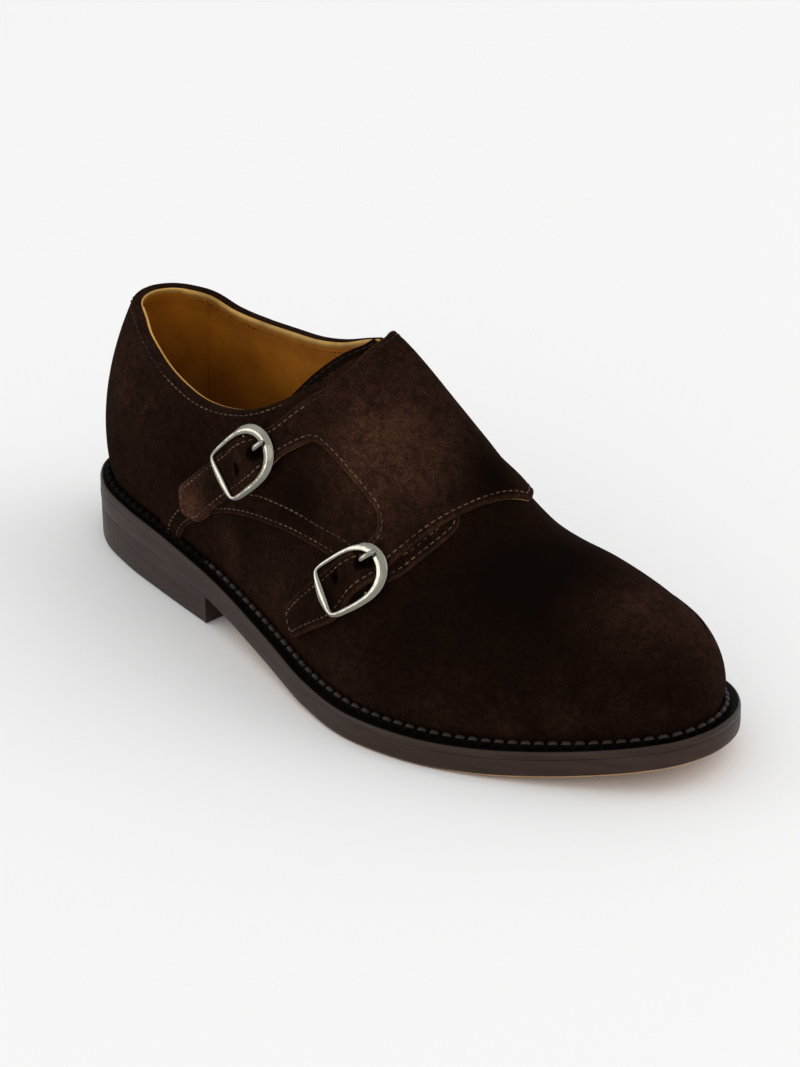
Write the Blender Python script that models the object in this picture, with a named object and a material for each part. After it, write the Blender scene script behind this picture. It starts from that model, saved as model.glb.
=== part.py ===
"""Double monk strap shoe for the right foot, with a storm welt and a low block heel.

Model frame: +X from heel to toe, +Y to the inner (medial) side, +Z up, origin on the floor under
the middle of the sole.  The tables and sizes below are millimetres in the last maker's own frame,
where x runs from the back of the heel; place() turns them into metres in the model frame.
"""

import math
from collections import namedtuple

import bmesh
import bpy
import numpy as np
from mathutils import Vector
from mathutils.geometry import delaunay_2d_cdt

MM = 0.001

# ---- driving sizes, mm ------------------------------------------------------------------------
SHOE_LENGTH = 305.0
GAP = 0.3                      # clearance between pieces that lie on each other

OUTSOLE_THICKNESS = 7.4
WELT_THICKNESS = 3.0
WELT_RIDGE_HEIGHT = 3.2        # the welt's upright rim beside the upper
WELT_RIDGE_WIDTH = 2.5
WELT_RIDGE_STAND_OFF = 0.9     # from the upper's lower edge
INSOLE_THICKNESS = 4.4
INSOLE_PLAY = 0.5              # between the insole and the upper's wall
BASE_HEIGHT = OUTSOLE_THICKNESS + WELT_THICKNESS + GAP     # the upper's lower edge
UPPER_WALL = 2.4
COLLAR_WALL = 2.6              # padded edge of the collar
COLLAR_SHARES = (0.3, 1.0)     # share of the padding on the collar's last two rows of points
PADDING_FULL = 98.0            # the padding is whole up to here and gone a little further on
PADDING_END = 116.0

HEEL_SEAT_HEIGHT = 14.4        # underside of the sole at the heel
HEEL_SEAT_END = 48.0           # the seat is level up to here, then drops to the ball
BALL_START = 196.0             # level stretch that rests on the floor
BALL_END = 226.0
TOE_SPRING = 11.0
TOE_SPRING_POWER = 1.8
HEEL_BREAST = 97.0
BREAST_MARGIN = 3.0            # no point of the outline stands nearer the breast than this
OUTSOLE_LAYERS = ((1.0, 0.0), (0.15, 0.9), (0.0, 3.0), (0.35, OUTSOLE_THICKNESS))
HEEL_LAYERS = ((1.4, 0.0), (0.6, 1.0), (0.9, HEEL_SEAT_HEIGHT))     # inset and height; top last

STATIONS = 38                  # sections along the shoe
ROWS = 11                      # rows up each side of the upper

TONGUE_THICKNESS = 2.4
TONGUE_SAG = 1.5               # how much deeper the tongue lies under the crest
TONGUE_SAG_WIDTH = 22.0
FLAP_THICKNESS = 2.2
FLAP_GAP = 0.45                # under the flap, where two sheets bend together
TONGUE_GAP = 1.1               # over the tongue, inside the upper's bends
PANEL_CELL = 4.3               # size of the cells in which a bent panel follows the last
CORNER_STEP = math.radians(24)  # turn between two points of a rounded corner
LEAST_STEP = 0.2               # points of an outline never stand closer than this
SLIVER_AREA = 0.01             # triangles smaller than this lie on the outline's straight sides

STRAP_HALF_WIDTH = 9.0
STRAP_PINCH = 2.2              # the bow presses the strap's edges down over this width
BUCKLE_LENGTH = 30.0           # outer length of the frame
BUCKLE_WIDTH = 22.8
BUCKLE_BAR_OFFSET = 16.5       # centre bar to the outer side of the straight end
BUCKLE_THICKNESS = 1.9
BUCKLE_RAIL = 2.1              # width of the frame along its sides
BUCKLE_BOW = 3.6               # width of the frame at its round end
BUCKLE_SHOULDER = 0.8          # height of the frame's upright sides, under its dome
BUCKLE_RIDGE = 0.45            # highest line of the dome, from the outer to the inner edge
BOW_START = 1.5                # the rails turn into the bow here
BOW_SIDES = 10
BOW_FULLNESS = 0.85
CORNER_CUT = (2.0, 2.2)        # how the straight end's corners are cut, along and across
CORNER_SWELL = 0.4
BAR_DIAMETER = 1.4
BAR_BEND = 0.9                 # width of the bends by which the bar hangs from the rails
BAR_SHOULDER = 0.4             # share of the drop from the rails that is in the bends
ROD_SIDES = 8
BAR_HEIGHT = 2.1               # centre bar's middle over the last
PRONG_DIAMETER = 1.5
PRONG_SHORT = 2.0              # the pin ends this far inside the bow's outer edge
EYE_WIRE = 0.4                 # half the thickness of the prong's eye
EYE_HALF_WIDTH = 0.85
EYE_PLAY = 0.25                # between the eye and the bar
EYE_SIDES = 12
WIRE_SIDES = 6
PRONG_HOLE_OFFSET = 3.0        # the strap's hole, from the centre bar towards the round end
PRONG_HOLE_DIAMETER = 3.4
SPARE_HOLE_OFFSET = -7.4
SPARE_HOLE_DIAMETER = 2.0
TAB_WIDTH = 12.0
TAB_SLOT = 3.2                 # room for the prong between the tab's two loops
TAB_PLY = 0.6
TAB_LENGTH = 12.0
TAB_GAP = 0.45                 # under the tab
TAB_BEND = -7.0                # where the tab's plies part to go round the bar
TAB_CROWN = -1.6               # rear end of the loop's level top
TAB_BORE = -4.5                # rear end of the hollow round the bar
TAB_SECTIONS = 5
BORE_CHAMFER = 0.3
TOOL_REACH = 2.0               # how far a cutting tool reaches past the piece

SoleRow = namedtuple("SoleRow", "x lateral medial")
SOLE_ROWS = (
    SoleRow(5, -16.7, 17.3),
    SoleRow(20, -29.4, 30.2),
    SoleRow(40, -35.8, 33.6),
    SoleRow(70, -40.7, 30.5),
    SoleRow(105, -45.4, 27.0),
    SoleRow(140, -52.9, 30.9),
    SoleRow(170, -60.5, 40.5),
    SoleRow(195, -63.2, 49.7),
    SoleRow(220, -58.8, 55.4),
    SoleRow(245, -47.9, 55.9),
    SoleRow(265, -35.4, 52.6),
    SoleRow(282, -22.9, 46.2),
    SoleRow(295, -11.2, 35.9),
    SoleRow(302, -1.8, 25.0),
)
HEEL_TIP = (0.0, 0.0)
TOE_TIP = (SHOE_LENGTH, 11.4)

# How far the upper's lower edge stands in from the sole's edge.
LedgeRow = namedtuple("LedgeRow", "x lateral medial")
LEDGE_ROWS = (
    LedgeRow(0, 4.8, 4.8),
    LedgeRow(60, 5.4, 5.0),
    LedgeRow(120, 6.2, 4.8),
    LedgeRow(190, 6.8, 6.0),
    LedgeRow(305, 6.6, 6.6),
)

# The last's crest line, over which the two sides of the upper meet.  base is the station of the
# section at the sole; x, y and z are the crest's own place, roundness the section's exponent and
# bulge how far each side swells beyond its lower edge.
CrestRow = namedtuple("CrestRow", "base x y z roundness bulge_lateral bulge_medial")
CREST_ROWS = (
    CrestRow(4, 45, 0, 126, 2.2, 3.8, 3.8),
    CrestRow(14, 48, 0, 126, 1.85, 3.6, 3.6),
    CrestRow(32, 52, 0, 127, 1.72, 3.2, 3.2),
    CrestRow(70, 70, 0, 129, 1.85, 2.4, 3.2),
    CrestRow(110, 110, 1, 129, 1.95, 2.0, 4.0),
    CrestRow(130, 130, 3, 125.5, 1.84, 2.0, 4.0),
    CrestRow(150, 150, 5, 117, 1.76, 2.0, 3.6),
    CrestRow(170, 170, 6, 102, 1.78, 2.0, 3.0),
    CrestRow(190, 190, 7, 83.5, 1.9, 2.0, 2.4),
    CrestRow(210, 209, 8, 67.5, 2.1, 2.0, 2.0),
    CrestRow(236, 233, 10, 62.5, 2.2, 2.0, 2.0),
    CrestRow(260, 250, 12, 59, 2.3, 1.8, 1.8),
    CrestRow(284, 261, 14, 56.5, 2.4, 1.4, 1.4),
    CrestRow(299, 266, 15, 55.5, 2.5, 1.2, 1.2),
)

# Height of the upper's top edge on each side, by the section's station at the sole.
ToplineRow = namedtuple("ToplineRow", "x lateral medial")
TOPLINE_ROWS = (
    ToplineRow(4, 96.6, 96.6),
    ToplineRow(20, 94.4, 95.2),
    ToplineRow(40, 89.5, 91.0),
    ToplineRow(62, 85.0, 91.0),
    ToplineRow(82, 83.5, 94.5),
    ToplineRow(98, 86.0, 99.0),
    ToplineRow(112, 91.0, 104.6),
    ToplineRow(124, 98.0, 109.6),
    ToplineRow(134, 106.0, 113.8),
)
THROAT_START = 134.0           # behind this station the top edge is the collar
THROAT_FRONT = 192.0           # ahead of it the upper is closed over the instep
THROAT_HALF_WIDTH = 9.0
THROAT_EASE = 14.0             # length over which the collar's edge turns into the throat's

# Outlines of the pieces that are cut flat and bent over the last: station along the shoe, girth
# from the crest (minus to the outer side) and the radius that rounds the corner there.
OutlinePoint = namedtuple("OutlinePoint", "along girth rounding")
FLAP_OUTLINE = (
    OutlinePoint(131, 31, 3),           # inner side, where the flap leaves the collar
    OutlinePoint(147.5, -3, 16),        # rear edge over the instep
    OutlinePoint(143.5, -25, 30),
    OutlinePoint(125, -53.5, 40),
    OutlinePoint(78.4, -92.6, 2.5),     # tip of the upper strap
    OutlinePoint(79.5, -102.7, 2.5),
    OutlinePoint(89.8, -104.4, 4),
    OutlinePoint(125.2, -73.8, 6),
    OutlinePoint(132, -61.5, 8),
    OutlinePoint(144.5, -47.5, 10),     # cut-out between the straps
    OutlinePoint(183.5, -43.3, 5),
    OutlinePoint(180.7, -57, 8),
    OutlinePoint(168.9, -79.7, 40),
    OutlinePoint(149.8, -108.5, 5),     # tip of the lower strap
    OutlinePoint(155, -116.5, 5),
    OutlinePoint(180.5, -85, 35),
    OutlinePoint(190, -62, 12),
    OutlinePoint(195, -42, 30),
    OutlinePoint(199, -20, 40),         # front edge
    OutlinePoint(203, 13, 6),
    OutlinePoint(173, 57, 4),           # inner side
    OutlinePoint(141, 82, 4),
)
TONGUE_OUTLINE = (
    OutlinePoint(122, 46, 6),
    OutlinePoint(140, 7, 14),
    OutlinePoint(140, -7, 14),
    OutlinePoint(118, -54, 6),
    OutlinePoint(196, -30, 8),
    OutlinePoint(206, 0, 14),
    OutlinePoint(196, 30, 8),
)

# Underside of a strap over the last, by the distance from the centre bar towards the instep.
StrapRow = namedtuple("StrapRow", "offset height")
STRAP_TOP = 4.2                # over the centre bar
STRAP_ROWS = (
    StrapRow(-24, 0.45),
    StrapRow(-18, 1.15),
    StrapRow(-13.5, 1.3),
    StrapRow(-9, 2.0),
    StrapRow(-3.5, 4.05),
    StrapRow(0, STRAP_TOP),
    StrapRow(2.5, 3.7),
    StrapRow(6, 1.2),
    StrapRow(9, 0.5),
    StrapRow(13, 0.45),
)

# Centre of each buckle's bar, the point of the strap's tip that it faces away from, and how its
# frame stands: turned from the strap, bow pressed down and rear side lifted, in degrees, and the
# height of its middle over the last at the bar.  prong is how far the holes lie behind the middle.
BuckleRow = namedtuple("BuckleRow", "along girth tip_along tip_girth turn pitch roll height prong")
BUCKLE_ROWS = (
    BuckleRow(119.2, -68.1, 84, -98, 10.4, 6, 5, 5.9, 0),
    BuckleRow(184.3, -63.9, 160, -110, -2.9, 0, 0, 4.8, 2.6),
)


def smoothstep(value):
    """Ease from 0 to 1."""
    t = np.clip(value, 0.0, 1.0)
    return t * t * (3.0 - 2.0 * t)


def column(rows, key, name, at):
    """Smooth value of one column of a table at one or more places."""
    xs = np.array([getattr(row, key) for row in rows], float)
    ys = np.array([getattr(row, name) for row in rows], float)
    slopes = np.gradient(ys, xs)
    at = np.clip(np.asarray(at, float), xs[0], xs[-1])
    k = np.clip(np.searchsorted(xs, at, side="right") - 1, 0, len(xs) - 2)
    span = xs[k + 1] - xs[k]
    t = (at - xs[k]) / span
    h00 = (1 + 2 * t) * (1 - t) ** 2
    h10 = t * (1 - t) ** 2
    h01 = t * t * (3 - 2 * t)
    h11 = t * t * (t - 1)
    return h00 * ys[k] + h10 * span * slopes[k] + h01 * ys[k + 1] + h11 * span * slopes[k + 1]


def underside(x):
    """Height of the sole's underside: level seat, drop to the ball, level tread, toe spring."""
    x = np.asarray(x, float)
    drop = smoothstep((x - HEEL_SEAT_END) / (BALL_START - HEEL_SEAT_END))
    spring = np.clip((x - BALL_END) / (SHOE_LENGTH - BALL_END), 0.0, None) ** TOE_SPRING_POWER
    return HEEL_SEAT_HEIGHT * (1.0 - drop) + TOE_SPRING * spring


def closed_curve(points, per_span=24):
    """Dense closed centripetal Catmull-Rom curve through the points."""
    points = np.asarray(points, float)
    count = len(points)
    out = []
    for i in range(count):
        p = [points[(i + j - 1) % count] for j in range(4)]
        knots = [0.0]
        for j in range(3):
            knots.append(knots[-1] + math.sqrt(np.linalg.norm(p[j + 1] - p[j])))
        for s in range(per_span):
            t = knots[1] + (knots[2] - knots[1]) * s / per_span
            a = [p[j] + (p[j + 1] - p[j]) * (t - knots[j]) / (knots[j + 1] - knots[j])
                 for j in range(3)]
            b = [a[j] + (a[j + 1] - a[j]) * (t - knots[j]) / (knots[j + 2] - knots[j])
                 for j in range(2)]
            out.append(b[0] + (b[1] - b[0]) * (t - knots[1]) / (knots[2] - knots[1]))
    return np.array(out)


def sole_curve():
    """Dense outline of the sole: heel tip, lateral side, toe tip, medial side."""
    lateral = [(row.x, row.lateral) for row in SOLE_ROWS]
    medial = [(row.x, row.medial) for row in reversed(SOLE_ROWS)]
    return closed_curve([HEEL_TIP] + lateral + [TOE_TIP] + medial)


def inset_curve(curve, amount):
    """Move a closed curve inwards by an amount that is a number or one value for each point."""
    tangent = np.roll(curve, -1, axis=0) - np.roll(curve, 1, axis=0)
    tangent /= np.linalg.norm(tangent, axis=1)[:, None]
    inward = np.stack([-tangent[:, 1], tangent[:, 0]], axis=1)
    return curve + inward * np.reshape(amount, (-1, 1))


def station_loop(curve):
    """Sample a closed outline at stations shared by both sides, closer together at the tips."""
    tip = np.argmax(curve[:, 0])
    heel = np.argmin(curve[:, 0])
    start, end = curve[heel, 0], curve[tip, 0]
    t = np.arange(1, STATIONS) / STATIONS
    xs = start + (end - start) * (0.6 * (0.5 - 0.5 * np.cos(math.pi * t)) + 0.4 * t)
    xs[:4] = start + (xs[3] - start) * np.array([0.055, 0.22, 0.53, 1.0])
    xs[-4:] = end - (end - xs[-4]) * np.array([1.0, 0.53, 0.22, 0.055])
    rolled = np.roll(curve, -heel, axis=0)
    split = (tip - heel) % len(curve)
    lateral = rolled[:split + 1]
    medial = np.vstack([rolled[split:], rolled[:1]])[::-1]
    near = np.stack([xs, np.interp(xs, lateral[:, 0], lateral[:, 1])], axis=1)
    far = np.stack([xs, np.interp(xs, medial[:, 0], medial[:, 1])], axis=1)[::-1]
    return np.vstack([curve[heel:heel + 1], near, curve[tip:tip + 1], far])


SOLE_CURVE = sole_curve()
CENTRE_SHIFT = -0.5 * (SOLE_CURVE[:, 1].max() + SOLE_CURVE[:, 1].min())


def ledge(curve):
    """Width of the ledge at each point of the sole's outline."""
    tip = np.argmax(curve[:, 0])
    side = np.arange(len(curve)) <= tip
    outer = column(LEDGE_ROWS, "x", "lateral", curve[:, 0])
    inner = column(LEDGE_ROWS, "x", "medial", curve[:, 0])
    return np.where(side, outer, inner)


SOLE_LOOP = station_loop(SOLE_CURVE)
FEATHER_LOOP = station_loop(inset_curve(SOLE_CURVE, ledge(SOLE_CURVE)))
LOOP_COUNT = len(SOLE_LOOP)


def place(point):
    """Model coordinates, in metres, of a point of the last maker's frame, in millimetres."""
    return ((point[0] - 0.5 * SHOE_LENGTH) * MM, (point[1] + CENTRE_SHIFT) * MM, point[2] * MM)


def material(name, colour, roughness, metallic=0.0):
    """Principled material of one finish."""
    mat = bpy.data.materials.new(name)
    mat.use_nodes = True
    shader = mat.node_tree.nodes["Principled BSDF"]
    shader.inputs["Base Color"].default_value = (*colour, 1.0)
    shader.inputs["Roughness"].default_value = roughness
    shader.inputs["Metallic"].default_value = metallic
    mat.diffuse_color = (*colour, 1.0)
    return mat


def add_object(name, points, faces, mat):
    """Make one closed solid from points in millimetres and its faces, wound outwards."""
    mesh = bpy.data.meshes.new(name)
    mesh.from_pydata([place(point) for point in points], [], faces)
    work = bmesh.new()
    work.from_mesh(mesh)
    bmesh.ops.recalc_face_normals(work, faces=work.faces)
    work.to_mesh(mesh)
    work.free()
    mesh.materials.append(mat)
    mesh.shade_smooth()
    mesh.set_sharp_from_angle(angle=math.radians(40))
    obj = bpy.data.objects.new(name, mesh)
    bpy.context.scene.collection.objects.link(obj)
    return obj


def ladder(count, offset=0):
    """Faces that fill a loop of stations, joining each lateral point to its medial partner."""
    half = count // 2
    faces = []
    for k in range(half):
        a, b = k, k + 1
        c, d = (count - k - 1) % count, (count - k) % count
        corners = [a, b, c, d]
        unique = [v for i, v in enumerate(corners) if v not in corners[:i]]
        faces.append([offset + v for v in unique])
    return faces


def tube_faces(rings, count, closed_section=False):
    """Quads between neighbouring rings of points; a closed section joins the last to the first."""
    faces = []
    pairs = rings if closed_section else rings - 1
    for r in range(pairs):
        s = (r + 1) % rings
        for i in range(count):
            j = (i + 1) % count
            faces.append((r * count + i, r * count + j, s * count + j, s * count + i))
    return faces


def loop_at(loop, inset, height):
    """A loop moved inwards and set at a height over the sole's underside."""
    moved = inset_curve(loop, inset)
    return np.column_stack([moved, underside(loop[:, 0]) + height])


def plate(name, loop, layers, mat):
    """Solid plate that follows the sole's curve; layers are (inset, height) rows, bottom first."""
    rings = [loop_at(loop, inset, height) for inset, height in layers]
    count = len(loop)
    faces = tube_faces(len(rings), count)
    faces += ladder(count)
    faces += ladder(count, (len(rings) - 1) * count)
    return add_object(name, np.vstack(rings), faces, mat)


# ---- the last: one closed surface over which upper, tongue and flap are shaped -----------------
def bulge_shape(height):
    """Swelling of a side over its height, one at its fullest and none at both ends."""
    return 6.75 * height * (1.0 - height) ** 2


class Rib:
    """One section of the last, from the feather edge on one side to the crest."""

    def __init__(self, base, outward, side):
        self.base = np.array([base[0], base[1], underside(base[0]) + BASE_HEIGHT])
        self.outward = np.array([outward[0], outward[1], 0.0])
        values = {name: float(column(CREST_ROWS, "base", name, base[0]))
                  for name in CrestRow._fields}
        self.crest = np.array([values["x"], values["y"], values["z"]])
        self.power = 2.0 / values["roundness"]
        self.bulge = values["bulge_" + side]

    def point(self, angle):
        """Point at an angle from 0 at the feather edge to a right angle at the crest."""
        rise = math.sin(angle) ** self.power
        run = 1.0 - max(math.cos(angle), 0.0) ** self.power
        out = self.base + (self.crest - self.base) * np.array([run, run, rise])
        return out + self.outward * self.bulge * bulge_shape(rise)

    def angle_at_height(self, z):
        """Angle at which the section reaches a height."""
        rise = (z - self.base[2]) / (self.crest[2] - self.base[2])
        return math.asin(min(rise, 1.0) ** (1.0 / self.power))

    def angle_at_distance(self, distance):
        """Angle at which the section is this far from the crest, seen from above."""
        whole = np.linalg.norm((self.crest - self.base)[:2])
        return math.acos(min(distance / whole, 1.0) ** (1.0 / self.power))


def make_ribs():
    """A rib for each point of the feather loop."""
    tangent = np.roll(FEATHER_LOOP, -1, axis=0) - np.roll(FEATHER_LOOP, 1, axis=0)
    tangent /= np.linalg.norm(tangent, axis=1)[:, None]
    half = LOOP_COUNT // 2
    ribs = []
    for i, base in enumerate(FEATHER_LOOP):
        outward = (tangent[i, 1], -tangent[i, 0])
        ribs.append(Rib(base, outward, "lateral" if i <= half else "medial"))
    return ribs


def top_angle(rib, side):
    """Angle at which the upper ends on a rib: collar, throat edge or crest."""
    x = rib.base[0]
    if x >= THROAT_FRONT:
        return 0.5 * math.pi
    height = float(column(TOPLINE_ROWS, "x", side, x))
    collar = rib.angle_at_height(height)
    if x <= THROAT_START:
        return collar
    along = (x - THROAT_START) / (THROAT_FRONT - THROAT_START)
    width = THROAT_HALF_WIDTH * math.sqrt(1.0 - along)
    ease = float(smoothstep((x - THROAT_START) / THROAT_EASE))
    return collar + (rib.angle_at_distance(width) - collar) * ease


def build_upper(mat):
    """Hollow upper: the outer face is laid over the ribs and the wall is thickened inwards."""
    ribs = make_ribs()
    half = LOOP_COUNT // 2
    work = bmesh.new()
    grid = []
    crest = {}
    for i, rib in enumerate(ribs):
        side = "lateral" if i <= half else "medial"
        top = top_angle(rib, side)
        row = []
        for j in range(ROWS + 1):
            partner = (LOOP_COUNT - i) % LOOP_COUNT
            on_crest = j == ROWS and rib.base[0] >= THROAT_FRONT and partner != i
            if on_crest and partner in crest:
                row.append(crest[partner])
                continue
            vert = work.verts.new(place(rib.point(top * j / ROWS)))
            if on_crest:
                crest[i] = vert
            row.append(vert)
        grid.append(row)
    for i in range(LOOP_COUNT):
        a, b = grid[i], grid[(i + 1) % LOOP_COUNT]
        for j in range(ROWS):
            corners = [a[j], b[j], b[j + 1], a[j + 1]]
            work.faces.new([v for k, v in enumerate(corners) if v not in corners[:k]])
    bmesh.ops.recalc_face_normals(work, faces=work.faces)
    work.normal_update()
    walls = {vert: UPPER_WALL * MM for vert in work.verts}
    for rib, row in zip(ribs, grid):
        fade = 1.0 - float(smoothstep((rib.base[0] - PADDING_FULL) / (PADDING_END - PADDING_FULL)))
        for vert, share in zip(row[-len(COLLAR_SHARES):], COLLAR_SHARES):
            walls[vert] += (COLLAR_WALL - UPPER_WALL) * share * fade * MM
    thicken_inwards(work, walls)
    return finish_object("upper", work, mat)


def thicken_inwards(work, walls):
    """Give an open sheet a wall on its inner side, as thick as told for each point."""
    outer = list(work.verts)
    faces = list(work.faces)
    edges = [edge for edge in work.edges if edge.is_boundary]
    inner = {v: work.verts.new(v.co - v.normal * walls[v]) for v in outer}
    for face in faces:
        work.faces.new([inner[v] for v in reversed(face.verts)])
    for edge in edges:
        a, b = edge.verts
        loop = edge.link_loops[0]
        first, second = (a, b) if loop.vert == a else (b, a)
        work.faces.new([second, first, inner[first], inner[second]])


def finish_object(name, work, mat):
    """Turn a bmesh into a named object with its material."""
    mesh = bpy.data.meshes.new(name)
    bmesh.ops.recalc_face_normals(work, faces=work.faces)
    work.to_mesh(mesh)
    work.free()
    mesh.materials.append(mat)
    mesh.shade_smooth()
    mesh.set_sharp_from_angle(angle=math.radians(40))
    obj = bpy.data.objects.new(name, mesh)
    bpy.context.scene.collection.objects.link(obj)
    return obj


# ---- sole, heel, welt and insole ---------------------------------------------------------------
def build_outsole(mat):
    """Outsole with a slightly rounded edge."""
    return plate("outsole", SOLE_LOOP, OUTSOLE_LAYERS, mat)


def build_insole(mat):
    """Insole board and sock, lying on the outsole inside the welt."""
    inset = UPPER_WALL + INSOLE_PLAY
    bottom = OUTSOLE_THICKNESS + GAP
    layers = ((inset, bottom), (inset, bottom + INSOLE_THICKNESS))
    return plate("insole", FEATHER_LOOP, layers, mat)


def build_heel(mat):
    """Low heel block under the seat, ending in a straight breast."""
    xs = SOLE_LOOP[:, 0]
    half = LOOP_COUNT // 2
    count = sum(1 for x in xs[:half + 1] if x < HEEL_BREAST - BREAST_MARGIN)
    lateral = SOLE_LOOP[:count]
    medial = SOLE_LOOP[LOOP_COUNT - count + 1:]
    breast_lateral = (HEEL_BREAST, np.interp(HEEL_BREAST, xs[:half], SOLE_LOOP[:half, 1]))
    breast_medial = (HEEL_BREAST, np.interp(HEEL_BREAST, xs[:half:-1], SOLE_LOOP[:half:-1, 1]))
    loop = np.vstack([lateral, [breast_lateral], [breast_medial], medial])
    rings = []
    for inset, height in HEEL_LAYERS:
        z = np.full(len(loop), height) if height < HEEL_SEAT_HEIGHT else underside(loop[:, 0]) - GAP
        rings.append(np.column_stack([shrink(loop, inset), z]))
    total = len(loop)
    faces = tube_faces(len(rings), total)
    for start in (0, 2 * total):
        faces += heel_ladder(total, start)
    return add_object("heel", np.vstack(rings), faces, mat)


def shrink(loop, inset):
    """Move the heel's outline inwards; its breast stays straight across."""
    moved = inset_curve(loop, inset)
    flat = loop[:, 0] >= HEEL_BREAST
    moved[flat, 0] = HEEL_BREAST - inset
    moved[flat, 1] = loop[flat, 1] - np.sign(loop[flat, 1]) * inset
    return moved


def heel_ladder(count, offset):
    """Faces across the heel's outline, joining partners on its two sides."""
    faces = []
    for k in range(count // 2):
        corners = [k, k + 1, (count - k - 1) % count, (count - k) % count]
        unique = [v for i, v in enumerate(corners) if v not in corners[:i]]
        if len(unique) > 2:
            faces.append([offset + v for v in unique])
    return faces


def build_welt(mat):
    """Storm welt: a flat ledge all round with an upright rim against the upper."""
    low = OUTSOLE_THICKNESS + GAP
    top = OUTSOLE_THICKNESS + WELT_THICKNESS
    rim_top = top + WELT_RIDGE_HEIGHT
    rim_in = -WELT_RIDGE_STAND_OFF
    rim_out = rim_in - WELT_RIDGE_WIDTH
    inner = UPPER_WALL + 0.5 * INSOLE_PLAY
    rings = [
        loop_at(SOLE_LOOP, 0.4, low),
        loop_at(SOLE_LOOP, 0.2, 0.5 * (low + top)),
        loop_at(SOLE_LOOP, 0.6, top),
        loop_at(FEATHER_LOOP, rim_out, top),
        loop_at(FEATHER_LOOP, rim_out + GAP, rim_top),
        loop_at(FEATHER_LOOP, rim_in, rim_top),
        loop_at(FEATHER_LOOP, rim_in, top),
        loop_at(FEATHER_LOOP, inner, top),
        loop_at(FEATHER_LOOP, inner, low),
    ]
    faces = tube_faces(len(rings), LOOP_COUNT, closed_section=True)
    return add_object("welt", np.vstack(rings), faces, mat)


# ---- flap, tongue and buckles ------------------------------------------------------------------
class LastSheet:
    """The last's surface laid out flat: station along the shoe and girth from the crest."""

    STEP = 2.0
    START = 60.0
    END = 240.0
    REACH = 128.0

    def __init__(self):
        self.stations = np.arange(self.START, self.END + 0.1, self.STEP)
        self.girths = np.arange(-self.REACH, self.REACH + 0.1, self.STEP)
        rows = [self.section(x) for x in self.stations]
        self.points = np.array(rows)
        along = np.gradient(self.points, axis=0)
        across = np.gradient(self.points, axis=1)
        normals = np.cross(along, across)
        length = np.linalg.norm(normals, axis=2)[..., None]
        self.normals = normals / np.maximum(length, 1e-9)

    def section(self, x):
        """Points of one section at equal steps of girth."""
        row = []
        for side, sign in (("lateral", -1.0), ("medial", 1.0)):
            rib = side_rib(x, side)
            angles = np.linspace(0.5 * math.pi, 0.0, 181)
            points = np.array([rib.point(angle) for angle in angles])
            steps = np.linalg.norm(np.diff(points, axis=0), axis=1)
            length = np.concatenate([[0.0], np.cumsum(steps)])
            wanted = np.abs(self.girths[self.girths * sign > 0])
            if side == "medial":
                row.append(points[0])
            row.extend([np.array([np.interp(g, length, points[:, k]) for k in range(3)])
                        for g in wanted])
        return row

    def at(self, along, girth, height=0.0):
        """Point over the sheet and the direction square to it."""
        u = np.clip((along - self.START) / self.STEP, 0, len(self.stations) - 1.001)
        v = np.clip((girth + self.REACH) / self.STEP, 0, len(self.girths) - 1.001)
        i, j = int(u), int(v)
        fu, fv = u - i, v - j
        weights = ((i, j, (1 - fu) * (1 - fv)), (i + 1, j, fu * (1 - fv)),
                   (i, j + 1, (1 - fu) * fv), (i + 1, j + 1, fu * fv))
        point = sum(self.points[a, b] * w for a, b, w in weights)
        normal = sum(self.normals[a, b] * w for a, b, w in weights)
        normal = normal / np.linalg.norm(normal)
        return point + normal * height, normal


def side_rib(x, side):
    """Rib of one side at any station."""
    half = LOOP_COUNT // 2
    loop = FEATHER_LOOP[:half + 1] if side == "lateral" else FEATHER_LOOP[:half - 1:-1]
    if side == "medial":
        loop = np.vstack([FEATHER_LOOP[:1], loop])
    sign = -1.0 if side == "lateral" else 1.0
    y = np.interp(x, loop[:, 0], loop[:, 1])
    slope = np.interp(x + 1.0, loop[:, 0], loop[:, 1]) - y
    outward = np.array([-slope * sign, sign])
    return Rib((x, y), outward / np.linalg.norm(outward), side)


def rounded_outline(rows, step):
    """Closed polygon with its corners rounded and its sides cut into short pieces."""
    corners = np.array([(row.along, row.girth) for row in rows], float)
    count = len(corners)
    points = []
    for k in range(count):
        here = corners[k]
        back = corners[k - 1] - here
        ahead = corners[(k + 1) % count] - here
        reach = 0.49 * min(np.linalg.norm(back), np.linalg.norm(ahead))
        back = back / np.linalg.norm(back)
        ahead = ahead / np.linalg.norm(ahead)
        half = 0.5 * math.acos(float(np.clip(back @ ahead, -1.0, 1.0)))
        cut = min(rows[k].rounding / math.tan(half), reach)
        radius = cut * math.tan(half)
        middle = (back + ahead) / np.linalg.norm(back + ahead)
        centre = here + middle * (radius / math.sin(half))
        first = here + back * cut - centre
        last = here + ahead * cut - centre
        sweep = math.pi - 2.0 * half
        pieces = max(1, int(round(sweep / CORNER_STEP)))
        turn = sweep if first[0] * last[1] - first[1] * last[0] > 0 else -sweep
        for s in range(pieces + 1):
            a = turn * s / pieces
            c, d = math.cos(a), math.sin(a)
            points.append(centre + np.array([c * first[0] - d * first[1],
                                             d * first[0] + c * first[1]]))
    out = []
    for k, point in enumerate(points):
        following = points[(k + 1) % len(points)]
        pieces = max(1, int(math.ceil(np.linalg.norm(following - point) / step)))
        for s in range(pieces):
            spot = point + (following - point) * s / pieces
            if not out or np.linalg.norm(spot - out[-1]) > LEAST_STEP:
                out.append(spot)
    return np.array(out)


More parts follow.
